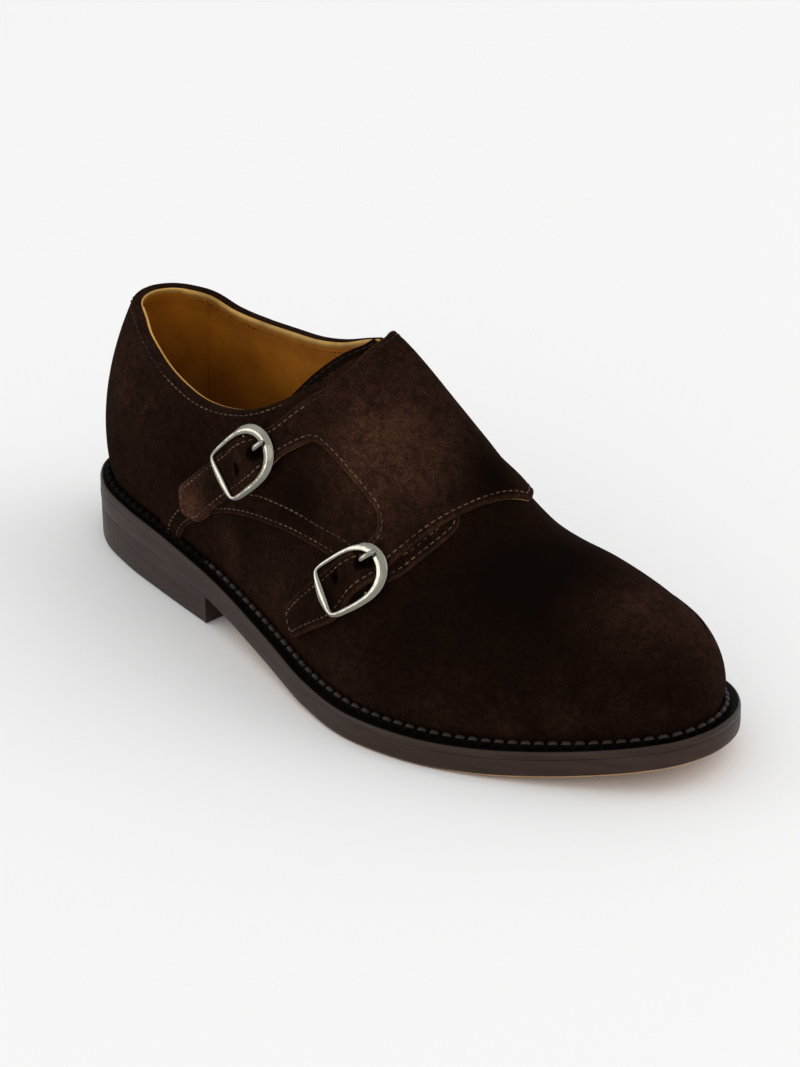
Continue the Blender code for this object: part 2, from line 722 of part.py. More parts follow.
def inside(point, polygon):
    """Whether a flat point lies inside a polygon."""
    x, y = point
    ahead = np.roll(polygon, -1, axis=0)
    crosses = (polygon[:, 1] > y) != (ahead[:, 1] > y)
    rise = ahead[:, 1] - polygon[:, 1]
    rise = np.where(rise == 0.0, 1.0, rise)
    meet = polygon[:, 0] + (y - polygon[:, 1]) / rise * (ahead[:, 0] - polygon[:, 0])
    return bool(np.count_nonzero(crosses & (x < meet)) % 2)


def panel_mesh(outline, holes, cell):
    """Triangles that fill an outline with holes, with inner points on a grid of cells."""
    loops = [outline] + list(holes)
    fixed = np.vstack(loops)
    low, high = outline.min(axis=0), outline.max(axis=0)
    free = []
    for row, girth in enumerate(np.arange(low[1], high[1], cell * 0.87)):
        for along in np.arange(low[0] + 0.5 * cell * (row % 2), high[0], cell):
            spot = np.array([along, girth])
            near = np.min(np.linalg.norm(fixed - spot, axis=1))
            blocked = any(inside(spot, hole) for hole in holes)
            if near > 0.6 * cell and inside(spot, outline) and not blocked:
                free.append(spot)
    points = [Vector(point) for point in fixed] + [Vector(point) for point in free]
    edges = []
    start = 0
    for loop in loops:
        edges += [(start + k, start + (k + 1) % len(loop)) for k in range(len(loop))]
        start += len(loop)
    flat, _, faces, *_ = delaunay_2d_cdt(points, edges, [], 0, 1e-5)
    flat = np.array([tuple(point) for point in flat])
    kept = []
    for face in faces:
        corners = flat[list(face)]
        first, second = corners[1] - corners[0], corners[2] - corners[0]
        area = 0.5 * abs(first[0] * second[1] - first[1] * second[0])
        middle = corners.mean(axis=0)
        blocked = any(inside(middle, hole) for hole in holes)
        if area > SLIVER_AREA and inside(middle, outline) and not blocked:
            kept.append(list(face))
    return flat, kept


def bent_panel(name, mesh, height, thickness, mat):
    """Panel of even thickness bent over the last; height gives its underside at a flat point."""
    flat, faces = mesh
    work = bmesh.new()
    low, high = [], []
    for along, girth in flat:
        base = height(along, girth)
        point, normal = SHEET.at(along, girth, base)
        low.append(work.verts.new(place(point)))
        high.append(work.verts.new(place(point + normal * thickness)))
    for face in faces:
        work.faces.new([high[k] for k in face])
        work.faces.new([low[k] for k in reversed(face)])
    directed = {}
    for face in faces:
        for k, first in enumerate(face):
            directed[(first, face[(k + 1) % len(face)])] = True
    for first, second in list(directed):
        if (second, first) not in directed:
            work.faces.new([high[second], high[first], low[first], low[second]])
    bmesh.ops.delete(work, geom=[v for v in work.verts if not v.link_faces], context="VERTS")
    return finish_object(name, work, mat)


class BuckleFrame:
    """Place and directions of one buckle: towards the instep, across the strap and outwards."""

    def __init__(self, row):
        self.spot = np.array([row.along, row.girth], float)
        self.origin, self.normal = SHEET.at(*self.spot)
        tip, _ = SHEET.at(row.tip_along, row.tip_girth)
        along = self.origin - tip
        along = along - self.normal * (along @ self.normal)
        along /= np.linalg.norm(along)
        angle = math.radians(row.turn)
        self.along = along * math.cos(angle) + np.cross(self.normal, along) * math.sin(angle)
        self.across = np.cross(self.normal, self.along)
        self.height = row.height
        self.prong = row.prong
        pitch, roll = math.radians(row.pitch), math.radians(row.roll)
        self.rise = math.sin(roll)
        up = self.normal * math.cos(pitch) + self.along * math.sin(pitch)
        self.lean = np.array([self.along * math.cos(pitch) - self.normal * math.sin(pitch),
                              self.across * math.cos(roll) + up * math.sin(roll),
                              up * math.cos(roll) - self.across * math.sin(roll)])

    def held(self, along, across, height):
        """Point of the metal parts, which lean a little about the bar."""
        offset = np.array([along, across, height - BAR_HEIGHT]) @ self.lean
        return self.origin + self.normal * BAR_HEIGHT + offset

    def flat_spot(self, along, across=0.0):
        """Flat coordinates of a place on the strap beside the centre bar."""
        centre = self.spot.copy()
        for _ in range(4):
            here, _ = SHEET.at(*centre)
            step_along = SHEET.at(centre[0] + 1.0, centre[1])[0] - here
            step_girth = SHEET.at(centre[0], centre[1] + 1.0)[0] - here
            frame = np.array([[step_along @ self.along, step_girth @ self.along],
                              [step_along @ self.across, step_girth @ self.across]])
            reached = here - self.origin
            missing = np.array([along - reached @ self.along,
                                across - reached @ self.across])
            centre = centre + np.linalg.solve(frame, missing)
        return centre

    def bent(self, along, across, height):
        """Point of the tab, which lies on the last and follows the leaning bar higher up."""
        lift = self.rise * across * min(height / BAR_HEIGHT, 1.0)
        return SHEET.at(*self.flat_spot(along, across), height + lift)[0]

    def strap_height(self, point):
        """How far the strap's underside clears the last at a point near the centre bar."""
        offset = point - self.origin
        distance = offset @ self.along
        side = offset @ self.across
        height = float(column(STRAP_ROWS, "offset", "height", distance))
        height += self.rise * side * min(height / STRAP_TOP, 1.0)
        pinch = STRAP_PINCH * float(smoothstep(0.5 * (distance - 1.0)))
        beside = float(smoothstep(abs(side) - STRAP_HALF_WIDTH + pinch))
        return max(height + (FLAP_GAP - height) * beside, FLAP_GAP)


def hole_loop(frame, offset, diameter):
    """Round hole in the strap, in flat coordinates."""
    sides = 10
    turns = [2.0 * math.pi * k / sides for k in range(sides)]
    return np.array([frame.flat_spot(offset + 0.5 * diameter * math.cos(a),
                                     frame.prong + 0.5 * diameter * math.sin(a)) for a in turns])


def build_flap(frames, mat):
    """Flap with its two straps, each with the hole in use and a spare one."""
    holes = []
    for frame in frames:
        holes.append(hole_loop(frame, PRONG_HOLE_OFFSET, PRONG_HOLE_DIAMETER))
        holes.append(hole_loop(frame, SPARE_HOLE_OFFSET, SPARE_HOLE_DIAMETER))
    mesh = panel_mesh(rounded_outline(FLAP_OUTLINE, PANEL_CELL), holes, PANEL_CELL)

    def height(along, girth):
        """Height of the flap's underside, which rises over each buckle's bar."""
        point, _ = SHEET.at(along, girth)
        return max(frame.strap_height(point) for frame in frames)

    return bent_panel("strap_flap", mesh, height, FLAP_THICKNESS, mat)


def build_tongue(mat):
    """Tongue under the throat, inside the upper."""
    mesh = panel_mesh(rounded_outline(TONGUE_OUTLINE, PANEL_CELL), [], PANEL_CELL + 1.0)

    def height(_, girth):
        """Height of the tongue's underside, which is the same at every station."""
        sag = TONGUE_SAG * math.exp(-(girth / TONGUE_SAG_WIDTH) ** 2)
        return -(UPPER_WALL + TONGUE_GAP + TONGUE_THICKNESS + sag)

    return bent_panel("tongue", mesh, height, TONGUE_THICKNESS, mat)


def frame_outline(share):
    """Outline of the frame in its plane, at a share of the way from its outer to its inner edge."""
    half = 0.5 * BUCKLE_WIDTH - share * BUCKLE_RAIL
    end = -(BUCKLE_BAR_OFFSET - share * BUCKLE_RAIL)
    reach = BUCKLE_LENGTH - BUCKLE_BAR_OFFSET - share * BUCKLE_BOW - BOW_START
    corner = [(end, half - CORNER_CUT[1]), (end + CORNER_CUT[0], half - CORNER_SWELL)]
    turns = [math.pi * (k / BOW_SIDES - 0.5) for k in range(BOW_SIDES + 1)]
    bow = [(BOW_START + reach * max(math.cos(a), 0.0) ** BOW_FULLNESS, half * math.sin(a))
           for a in turns]
    return [(a, -c) for a, c in corner] + bow + corner[::-1]


def build_buckle_frame(number, frame, mat):
    """Closed frame, slightly domed, with its centre bar slung under it."""
    low = frame.height - 0.5 * BUCKLE_THICKNESS
    shoulder = low + BUCKLE_SHOULDER
    sections = ((0.0, low), (0.0, shoulder), (BUCKLE_RIDGE, low + BUCKLE_THICKNESS),
                (1.0, shoulder), (1.0, low))
    rings = [np.array([frame.held(a, c, h) for a, c in frame_outline(share)])
             for share, h in sections]
    faces = tube_faces(len(rings), len(rings[0]), closed_section=True)
    ring = add_object(f"buckle_frame_{number}", np.vstack(rings), faces, mat)
    half = 0.5 * (BUCKLE_WIDTH - BUCKLE_RAIL)
    bend = BAR_HEIGHT + BAR_SHOULDER * (frame.height - BAR_HEIGHT)
    side = [(half, frame.height), (half, bend), (half - BAR_BEND, BAR_HEIGHT)]
    path = [(-c, h) for c, h in side] + [(0.0, BAR_HEIGHT)] + side[::-1]
    bar = rod(f"bar_{number}", [frame.held(0.0, c, h) for c, h in path], 0.5 * BAR_DIAMETER,
              ROD_SIDES, mat)
    combine(ring, bar, "UNION")
    return ring


def rod(name, path, radius, sides, mat):
    """Round rod along a path, with flat ends."""
    path = np.array(path, float)
    rings = []
    tangents = np.gradient(path, axis=0)
    side = None
    for point, tangent in zip(path, tangents):
        tangent = tangent / np.linalg.norm(tangent)
        if side is None:
            helper = np.array([0.0, 0.0, 1.0]) if abs(tangent[2]) < 0.8 else np.array([1.0, 0, 0])
            side = np.cross(tangent, helper)
        side = side - tangent * (side @ tangent)
        side = side / np.linalg.norm(side)
        other = np.cross(tangent, side)
        turns = [2.0 * math.pi * k / sides for k in range(sides)]
        rings.append(np.array([point + radius * (side * math.cos(a) + other * math.sin(a))
                               for a in turns]))
    faces = tube_faces(len(rings), sides)
    faces.append(list(range(sides)))
    faces.append([(len(rings) - 1) * sides + k for k in range(sides)])
    return add_object(name, np.vstack(rings), faces, mat)


def combine(target, tool, operation):
    """Apply one exact Boolean and remove the tool."""
    modifier = target.modifiers.new("combine", "BOOLEAN")
    modifier.operation = operation
    modifier.solver = "EXACT"
    modifier.object = tool
    bpy.context.view_layer.update()
    graph = bpy.context.evaluated_depsgraph_get()
    mesh = bpy.data.meshes.new_from_object(target.evaluated_get(graph))
    target.modifiers.clear()
    target.data = mesh
    bpy.data.objects.remove(tool, do_unlink=True)


def build_prong(number, frame, mat):
    """Prong: an eye round the centre bar and a pin through the strap onto the round end."""
    radius = 0.5 * PRONG_DIAMETER
    eye_radius = 0.5 * BAR_DIAMETER + EYE_PLAY + EYE_WIRE
    middle = frame.prong
    rings = []
    for k in range(EYE_SIDES):
        a = 2.0 * math.pi * k / EYE_SIDES
        for b in range(WIRE_SIDES):
            t = 2.0 * math.pi * b / WIRE_SIDES
            r = eye_radius + EYE_WIRE * math.cos(t)
            rings.append(frame.held(r * math.cos(a), middle + EYE_HALF_WIDTH * math.sin(t),
                                    BAR_HEIGHT + r * math.sin(a)))
    faces = [face[::-1] for face in tube_faces(EYE_SIDES, WIRE_SIDES, closed_section=True)]
    eye = add_object(f"buckle_prong_{number}", rings, faces, mat)
    rest = frame.height + 0.5 * BUCKLE_THICKNESS + GAP + radius
    strap_top = float(column(STRAP_ROWS, "offset", "height", PRONG_HOLE_OFFSET)) + FLAP_THICKNESS
    bow = BUCKLE_LENGTH - BUCKLE_BAR_OFFSET
    hole = PRONG_HOLE_OFFSET
    path = [(eye_radius + EYE_WIRE, BAR_HEIGHT), (hole, 0.5 * strap_top), (hole, strap_top - radius),
            (hole + 2.0 * radius, strap_top + radius), (bow - BUCKLE_BOW, rest + GAP),
            (bow - PRONG_SHORT, rest)]
    pin = rod(f"pin_{number}", [frame.held(a, middle, h) for a, h in path], radius, ROD_SIDES, mat)
    combine(eye, pin, "UNION")
    return eye


def build_tab(number, frame, mat):
    """Leather tab folded round the centre bar, with a slot for the prong."""
    bar_low = BAR_HEIGHT - 0.5 * BAR_DIAMETER - GAP
    bar_high = BAR_HEIGHT + 0.5 * BAR_DIAMETER + GAP
    fold = 0.5 * BAR_DIAMETER + GAP
    nose = fold + TAB_PLY
    outer = [(-TAB_LENGTH, TAB_GAP), (TAB_BEND, TAB_GAP), (fold, bar_low - TAB_PLY), (nose, bar_low),
             (nose, bar_high), (fold, bar_high + TAB_PLY), (TAB_CROWN, bar_high + TAB_PLY),
             (TAB_BEND, TAB_GAP + 1.5 * TAB_PLY), (-TAB_LENGTH, TAB_GAP + TAB_PLY)]
    cut = BORE_CHAMFER
    bore = [(TAB_BORE, bar_low), (fold - cut, bar_low), (fold, bar_low + cut),
            (fold, bar_high - cut), (fold - cut, bar_high), (TAB_CROWN + cut, bar_high)]
    slot = [(-TAB_SLOT, -TOOL_REACH), (nose + TOOL_REACH, -TOOL_REACH),
            (nose + TOOL_REACH, bar_high + TOOL_REACH), (-TAB_SLOT, bar_high + TOOL_REACH)]
    half = 0.5 * TAB_WIDTH
    body = extruded(f"buckle_tab_{number}", frame, outer, (-half, half), mat)
    ends = (-half - TOOL_REACH, half + TOOL_REACH)
    combine(body, extruded("bore", frame, bore, ends, mat), "DIFFERENCE")
    sides = (frame.prong - 0.5 * TAB_SLOT, frame.prong + 0.5 * TAB_SLOT)
    combine(body, extruded("slot", frame, slot, sides, mat), "DIFFERENCE")
    return body


def extruded(name, frame, outline, sides, mat):
    """Outline in length along the strap and height, drawn from side to side over the last."""
    rings = [np.array([frame.bent(a, side, h) for a, h in outline])
             for side in np.linspace(*sides, TAB_SECTIONS)]
    count = len(outline)
    faces = tube_faces(len(rings), count)
    faces.append(list(range(count)))
    faces.append([(len(rings) - 1) * count + k for k in range(count)])
    return add_object(name, np.vstack(rings), faces, mat)


def main():
    """Build every piece."""
    for obj in list(bpy.data.objects):
        bpy.data.objects.remove(obj, do_unlink=True)
    edge = material("edge_leather", (0.035, 0.022, 0.020), 0.45)
    suede = material("brown_suede", (0.045, 0.026, 0.020), 0.95)
    steel = material("polished_steel", (0.75, 0.74, 0.72), 0.2, 1.0)
    lining = material("tan_lining", (0.55, 0.30, 0.10), 0.6)
    build_outsole(edge)
    build_heel(edge)
    build_welt(edge)
    build_insole(lining)
    build_upper(suede)
    build_tongue(suede)
    frames = [BuckleFrame(row) for row in BUCKLE_ROWS]
    build_flap(frames, suede)
    for number, frame in enumerate(frames, 1):
        build_tab(number, frame, edge)
        build_buckle_frame(number, frame, steel)
        build_prong(number, frame, steel)


SHEET = LastSheet()
main()
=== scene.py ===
"""Double monk strap shoe in dark brown suede, for the right foot, standing empty on a pale floor.

The shoe's pieces are shaped over the last, in the last maker's millimetres: x from the back of the
heel to the toe, y to the inner (medial) side and z up from the floor.  Pieces that are cut flat
and bent over the last are drawn by their station along the shoe and their girth from its crest,
which is negative on the outer (lateral) side.
"""

import logging
import math
from dataclasses import dataclass, field
from enum import Enum
from typing import Any, ClassVar, Iterable, NamedTuple, Sequence

import bmesh
import bpy
import numpy as np
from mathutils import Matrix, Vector
from mathutils.bvhtree import BVHTree
from mathutils.geometry import delaunay_2d_cdt


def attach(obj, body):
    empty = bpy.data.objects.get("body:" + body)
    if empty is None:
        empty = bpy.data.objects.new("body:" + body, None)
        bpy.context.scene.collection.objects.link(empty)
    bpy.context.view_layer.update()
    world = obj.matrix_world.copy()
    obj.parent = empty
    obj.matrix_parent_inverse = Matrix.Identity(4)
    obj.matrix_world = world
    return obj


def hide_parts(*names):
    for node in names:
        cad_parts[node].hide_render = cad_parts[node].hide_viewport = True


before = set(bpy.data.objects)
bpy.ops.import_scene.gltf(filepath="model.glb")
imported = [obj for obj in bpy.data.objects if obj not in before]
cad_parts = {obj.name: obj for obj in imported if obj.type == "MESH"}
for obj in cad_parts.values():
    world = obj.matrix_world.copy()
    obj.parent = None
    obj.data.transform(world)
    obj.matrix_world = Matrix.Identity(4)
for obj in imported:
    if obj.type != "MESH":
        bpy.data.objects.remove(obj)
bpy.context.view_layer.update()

Array = np.ndarray
Values = Array | float
Faces = list[list[int]]
Pair = tuple[float, float]
Triple = tuple[float, float, float]
Pairs = tuple[Pair, ...]
Triples = tuple[Triple, ...]
Material = bpy.types.Material
MM = 0.001
LOG = logging.getLogger("shoe")


class Side(Enum):
    """The outer and the inner side of the shoe, with the sign of their girth."""

    LATERAL = -1.0
    MEDIAL = 1.0


# ---- numbers and curves ----
def smoothstep(value: Values) -> Values:
    """Ease from 0 to 1 as the value goes from 0 to 1."""
    t = np.clip(value, 0.0, 1.0)
    return t * t * (3.0 - 2.0 * t)


def column(rows: Sequence[Any], key: str, name: str, at: Values) -> Array:
    """Read one column of a table smoothly between its rows.

    Args:
        rows: The table's rows.
        key: Column that the table is ordered by.
        name: Column to read.
        at: Places along the key column.

    Returns:
        The column's value at each place.
    """
    xs = np.array([getattr(row, key) for row in rows], float)
    ys = np.array([getattr(row, name) for row in rows], float)
    slopes = np.gradient(ys, xs)
    at = np.clip(np.asarray(at, float), xs[0], xs[-1])
    k = np.clip(np.searchsorted(xs, at, side="right") - 1, 0, len(xs) - 2)
    span = xs[k + 1] - xs[k]
    t = (at - xs[k]) / span
    rise = t * t * (3 - 2 * t)
    lift = t * (1 - t) ** 2 * span * slopes[k] + t * t * (t - 1) * span * slopes[k + 1]
    return ys[k] * (1 - rise) + ys[k + 1] * rise + lift


def spline(points: Array, per_span: int, closed: bool) -> Array:
    """Draw a centripetal Catmull-Rom curve through points.

    Args:
        points: Points in two or three dimensions.
        per_span: Pieces between two neighbouring points.
        closed: Whether the last point joins the first.

    Returns:
        The curve's points in order; an open curve includes its last point.
    """
    points = np.asarray(points, float)
    if closed:
        ring = np.vstack([points[-1:], points, points[:2]])
    else:
        ring = np.vstack([2 * points[0] - points[1], points, 2 * points[-1] - points[-2]])
    t = (np.arange(per_span) / per_span)[:, None]
    out = []
    for i in range(len(ring) - 3):
        p = ring[i:i + 4]
        knots = np.cumsum([0.0, *np.linalg.norm(np.diff(p, axis=0), axis=1) ** 0.5])
        u = knots[1] + (knots[2] - knots[1]) * t
        for gap in (1, 2):
            p = [p[j] + (p[j + 1] - p[j]) * (u - knots[j]) / (knots[j + gap] - knots[j])
                 for j in range(4 - gap)]
        out.append(p[0] + (p[1] - p[0]) * (u - knots[1]) / (knots[2] - knots[1]))
    curve = np.vstack(out)
    return curve if closed else np.vstack([curve, points[-1:]])


def unit(vectors: Array) -> Array:
    """The same directions at length one."""
    return vectors / np.linalg.norm(vectors, axis=-1, keepdims=True)


def turns(count: int) -> Array:
    """Angles that divide a full turn evenly."""
    return np.linspace(0.0, 2.0 * math.pi, count, endpoint=False)


def lengths(path: Array) -> Array:
    """Distance along a path to each of its points."""
    return np.concatenate([[0.0], np.cumsum(np.linalg.norm(np.diff(path, axis=0), axis=1))])


def resample(path: Array, places: Array) -> Array:
    """Points of a path at the given distances along it."""
    run = lengths(path)
    return np.stack([np.interp(places, run, path[:, k]) for k in range(path.shape[1])], axis=1)


def even(path: Array, step: float) -> Array:
    """Cut a path into equal pieces of about one step."""
    total = lengths(path)[-1]
    return resample(path, np.linspace(0.0, total, max(2, int(round(total / step)) + 1)))


def leftward(path: Array, closed: bool = True, reach: int = 1) -> Array:
    """Flat directions to the left of a path, judged between its points within reach."""
    ahead = (np.roll(path, -reach, axis=0) - np.roll(path, reach, axis=0) if closed
             else np.gradient(path, axis=0))
    return unit(np.stack([-ahead[:, 1], ahead[:, 0]], axis=1))


def inset(path: Array, amount: Values, closed: bool = True) -> Array:
    """Move a flat path to its left, where a closed one has its inside."""
    return path + leftward(path, closed) * np.reshape(amount, (-1, 1))


def distance_to(points: Array, path: Array, closed: bool = True) -> Array:
    """Least distance from each flat point to a path."""
    along = (np.roll(path, -1, axis=0) if closed else path[1:]) - path[:None if closed else -1]
    starts = path[:len(along)]
    square = np.maximum((along ** 2).sum(axis=1), 1e-12)
    out = []
    for part in np.array_split(points, len(points) // 2000 + 1):
        offset = part[:, None, :] - starts
        t = np.clip((offset * along).sum(axis=2) / square, 0.0, 1.0)
        out.append(np.linalg.norm(offset - t[..., None] * along, axis=2).min(axis=1))
    return np.concatenate(out)


def inside(points: Array, polygon: Array) -> Array:
    """Whether each flat point lies inside a polygon."""
    ahead = np.roll(polygon, -1, axis=0)
    rise = ahead[:, 1] - polygon[:, 1]
    rise = np.where(rise == 0.0, 1.0, rise)
    y = points[:, 1:2]
    crosses = (polygon[:, 1] > y) != (ahead[:, 1] > y)
    meet = polygon[:, 0] + (y - polygon[:, 1]) / rise * (ahead[:, 0] - polygon[:, 0])
    return (crosses & (points[:, :1] < meet)).sum(axis=1) % 2 == 1


class Corner(NamedTuple):
    """Corner of a piece's flat outline and the radius that rounds it."""

    along: float
    girth: float
    rounding: float


def rounded(corners: Sequence[Corner], step: float) -> Array:
    """Draw a closed outline with rounded corners.

    Args:
        corners: The outline's corners, with its inside to the left.
        step: Length of the pieces that the outline is cut into.

    Returns:
        Points of the outline, evenly spaced.
    """
    spots = np.array([(corner.along, corner.girth) for corner in corners], float)
    points = []
    for k, here in enumerate(spots):
        back, ahead = spots[k - 1] - here, spots[(k + 1) % len(spots)] - here
        reach = 0.49 * min(np.linalg.norm(back), np.linalg.norm(ahead))
        back, ahead = unit(back), unit(ahead)
        half = 0.5 * math.acos(float(np.clip(back @ ahead, -1.0, 1.0)))
        cut = min(corners[k].rounding / math.tan(half), reach)
        centre = here + unit(back + ahead) * cut / math.cos(half)
        first, last = here + back * cut - centre, here + ahead * cut - centre
        sweep = math.copysign(math.pi - 2.0 * half, first[0] * last[1] - first[1] * last[0])
        for a in sweep * np.linspace(0.0, 1.0, 13):
            c, s = math.cos(a), math.sin(a)
            points.append(centre + (c * first[0] - s * first[1], s * first[0] + c * first[1]))
    return even(np.array(points + points[:1]), step)[:-1]


# ---- the last ----
class SoleRow(NamedTuple):
    """Edge of the sole on its two sides, or width of the ledge outside the upper."""

    x: float
    lateral: float
    medial: float


class CrestRow(NamedTuple):
    """Crest of the last over one station of its lower edge, and the section's form there."""

    base: float
    x: float
    y: float
    z: float
    roundness: float
    bulge_lateral: float
    bulge_medial: float


def by_side(rows: Sequence[SoleRow], x: Array, lateral: Array) -> Array:
    """Read a table's lateral or medial column at each station."""
    return np.where(lateral, column(rows, "x", "lateral", x), column(rows, "x", "medial", x))


@dataclass
class Last:
    """The form on which the shoe is made, with the sole's outline and the upper's top edge."""

    length: float = 305.0
    seat_height: float = 14.4
    seat_end: float = 48.0
    ball_start: float = 196.0
    ball_end: float = 226.0
    toe_spring: float = 11.0
    spring_power: float = 1.8
    outsole: float = 7.4
    welt: float = 3.0
    gap: float = 0.3
    throat_start: float = 134.0
    throat_front: float = 192.0
    throat_half_width: float = 9.0
    stations: int = 190
    curve_steps: int = 60
    sole_rows: tuple[SoleRow, ...] = tuple(SoleRow(*row) for row in (
        (5, -16.7, 17.3), (20, -29.4, 30.2), (40, -35.8, 33.6), (70, -40.7, 30.5),
        (105, -45.4, 27.0), (140, -52.9, 30.9), (170, -60.5, 40.5), (195, -63.2, 49.7),
        (220, -58.8, 55.4), (245, -47.9, 55.9), (265, -35.4, 52.6), (282, -22.9, 46.2),
        (295, -11.2, 35.9), (302, -1.8, 25.0)))
    toe_tip: float = 11.4
    ledge_rows: tuple[SoleRow, ...] = tuple(SoleRow(*row) for row in (
        (0, 4.8, 4.8), (60, 5.4, 5.0), (120, 6.2, 4.8), (190, 6.8, 6.0), (305, 6.6, 6.6)))
    crest_rows: tuple[CrestRow, ...] = tuple(CrestRow(*row) for row in (
        (4, 45, 0, 126, 2.2, 3.8, 3.8), (14, 48, 0, 126, 1.85, 3.6, 3.6),
        (32, 52, 0, 127, 1.72, 3.2, 3.2), (70, 70, 0, 129, 1.85, 2.4, 3.2),
        (110, 110, 1, 129, 1.95, 2.0, 4.0), (130, 130, 3, 125.5, 1.84, 2.0, 4.0),
        (150, 150, 5, 117, 1.76, 2.0, 3.6), (170, 170, 6, 102, 1.78, 2.0, 3.0),
        (190, 190, 7, 83.5, 1.9, 2.0, 2.4), (210, 209, 8, 67.5, 2.1, 2.0, 2.0),
        (236, 233, 10, 62.5, 2.2, 2.0, 2.0), (260, 250, 12, 59, 2.3, 1.8, 1.8),
        (284, 261, 14, 56.5, 2.4, 1.4, 1.4), (299, 266, 15, 55.5, 2.5, 1.2, 1.2)))
    topline_rows: tuple[SoleRow, ...] = tuple(SoleRow(*row) for row in (
        (4, 97.6, 97.6), (20, 94.8, 96.9), (40, 89.5, 93.2), (62, 85.0, 94.4), (82, 83.5, 97.4),
        (98, 86.0, 100.2), (112, 91.0, 104.6), (124, 98.0, 109.6), (134, 106.0, 113.8)))
    sole_loop: Array = field(init=False)
    feather_loop: Array = field(init=False)
    shift: float = field(init=False)

    def __post_init__(self) -> None:
        """Draw the sole's outline and the upper's lower edge inside it."""
        lateral = [(row.x, row.lateral) for row in self.sole_rows]
        medial = [(row.x, row.medial) for row in reversed(self.sole_rows)]
        ring = [(0.0, 0.0)] + lateral + [(self.length, self.toe_tip)] + medial
        curve = spline(ring, self.curve_steps, closed=True)
        self.shift = -0.5 * float(curve[:, 1].max() + curve[:, 1].min())
        outer = np.arange(len(curve)) <= np.argmax(curve[:, 0])
        ledge = by_side(self.ledge_rows, curve[:, 0], outer)
        self.sole_loop = self.station_loop(curve)
        self.feather_loop = self.station_loop(inset(curve, ledge))

    def station_loop(self, curve: Array) -> Array:
        """Sample a closed outline at stations that its two sides share, from the heel's middle."""
        heel, tip = int(np.argmin(curve[:, 0])), int(np.argmax(curve[:, 0]))
        rolled = np.roll(curve, -heel, axis=0)
        split = (tip - heel) % len(curve)
        lateral = rolled[:split + 1]
        medial = np.vstack([rolled[split:], rolled[:1]])[::-1]
        xs = even(lateral, lengths(lateral)[-1] / self.stations)[:, 0]
        near, far = (np.stack([xs, np.interp(xs, *line.T)], axis=1) for line in (lateral, medial))
        return np.vstack([near, far[-2:0:-1]])

    @property
    def feather_height(self) -> float:
        """Height of the upper's lower edge over the sole's underside."""
        return self.outsole + self.welt + self.gap

    def underside(self, x: Values) -> Array:
        """Height of the sole's underside: level seat, drop to the ball, tread and toe spring."""
        x = np.asarray(x, float)
        drop = smoothstep((x - self.seat_end) / (self.ball_start - self.seat_end))
        spring = np.clip((x - self.ball_end) / (self.length - self.ball_end), 0.0, None)
        return self.seat_height * (1.0 - drop) + self.toe_spring * spring ** self.spring_power

    def world(self, points: Array) -> Array:
        """Model coordinates in metres of points in the last maker's millimetres."""
        return (np.asarray(points, float) + (-0.5 * self.length, self.shift, 0.0)) * MM

    def plate_ring(self, loop: Array, inwards: Values, height: Values) -> Array:
        """A loop moved inwards and set at a height over the sole's underside."""
        return np.column_stack([inset(loop, inwards), self.underside(loop[:, 0]) + height])


class Ribs:
    """Sections of the last, each from its lower edge on one side up to the crest."""

    def __init__(self, last: Last, bases: Array, outwards: Array, lateral: Array) -> None:
        """Lay out the sections.

        Args:
            last: The last they belong to.
            bases: Flat place of each section's foot.
            outwards: Flat direction out of the last at each foot.
            lateral: Whether each section is on the outer side.
        """
        x = bases[:, 0]
        table = {name: column(last.crest_rows, "base", name, x) for name in CrestRow._fields}
        self.base = np.column_stack([bases, last.underside(x) + last.feather_height])
        self.outward = np.column_stack([outwards, np.zeros(len(x))])
        self.crest = np.column_stack([table["x"], table["y"], table["z"]])
        self.power = 2.0 / table["roundness"]
        self.bulge = np.where(lateral, table["bulge_lateral"], table["bulge_medial"])

    @classmethod
    def round_loop(cls, last: Last) -> "Ribs":
        """Sections at every point of the upper's lower edge."""
        loop = last.feather_loop
        return cls(last, loop, -leftward(loop), np.arange(len(loop)) <= last.stations)

    @classmethod
    def on_side(cls, last: Last, xs: Array, side: Side) -> "Ribs":
        """Sections of one side at chosen stations."""
        loop, half = last.feather_loop, last.stations
        if side is Side.MEDIAL:
            loop = np.vstack([loop[:1], loop[::-1]])
        line = loop[:half + 1].T
        y = np.interp(xs, *line)
        slope = np.interp(xs + 1.0, *line) - y
        outward = unit(np.stack([-slope, np.ones(len(xs))], axis=1)) * side.value
        return cls(last, np.stack([xs, y], axis=1), outward,
                   np.full(len(xs), side is Side.LATERAL))

    def points(self, angles: Array) -> Array:
        """Points at angles from 0 at the foot to a right angle at the crest, a row a section."""
        power = self.power[:, None]
        rise = np.sin(angles) ** power
        run = 1.0 - np.clip(np.cos(angles), 0.0, None) ** power
        span = (self.crest - self.base)[:, None, :]
        swell = self.bulge[:, None] * 27.0 / 4.0 * rise * (1.0 - rise) ** 2  # at most bulge
        out = self.base[:, None, :] + span * np.stack([run, run, rise], axis=2)
        return out + self.outward[:, None, :] * swell[..., None]

    def angle_at_height(self, z: Values) -> Array:
        """Angle at which each section reaches a height."""
        rise = (z - self.base[:, 2]) / (self.crest[:, 2] - self.base[:, 2])
        return np.arcsin(np.clip(rise, 0.0, 1.0) ** (1.0 / self.power))

    def angle_at_distance(self, distance: Array) -> Array:
        """Angle at which each section is this far from the crest, seen from above."""
        whole = np.linalg.norm((self.crest - self.base)[:, :2], axis=1)
        return np.arccos(np.clip(distance / whole, 0.0, 1.0) ** (1.0 / self.power))


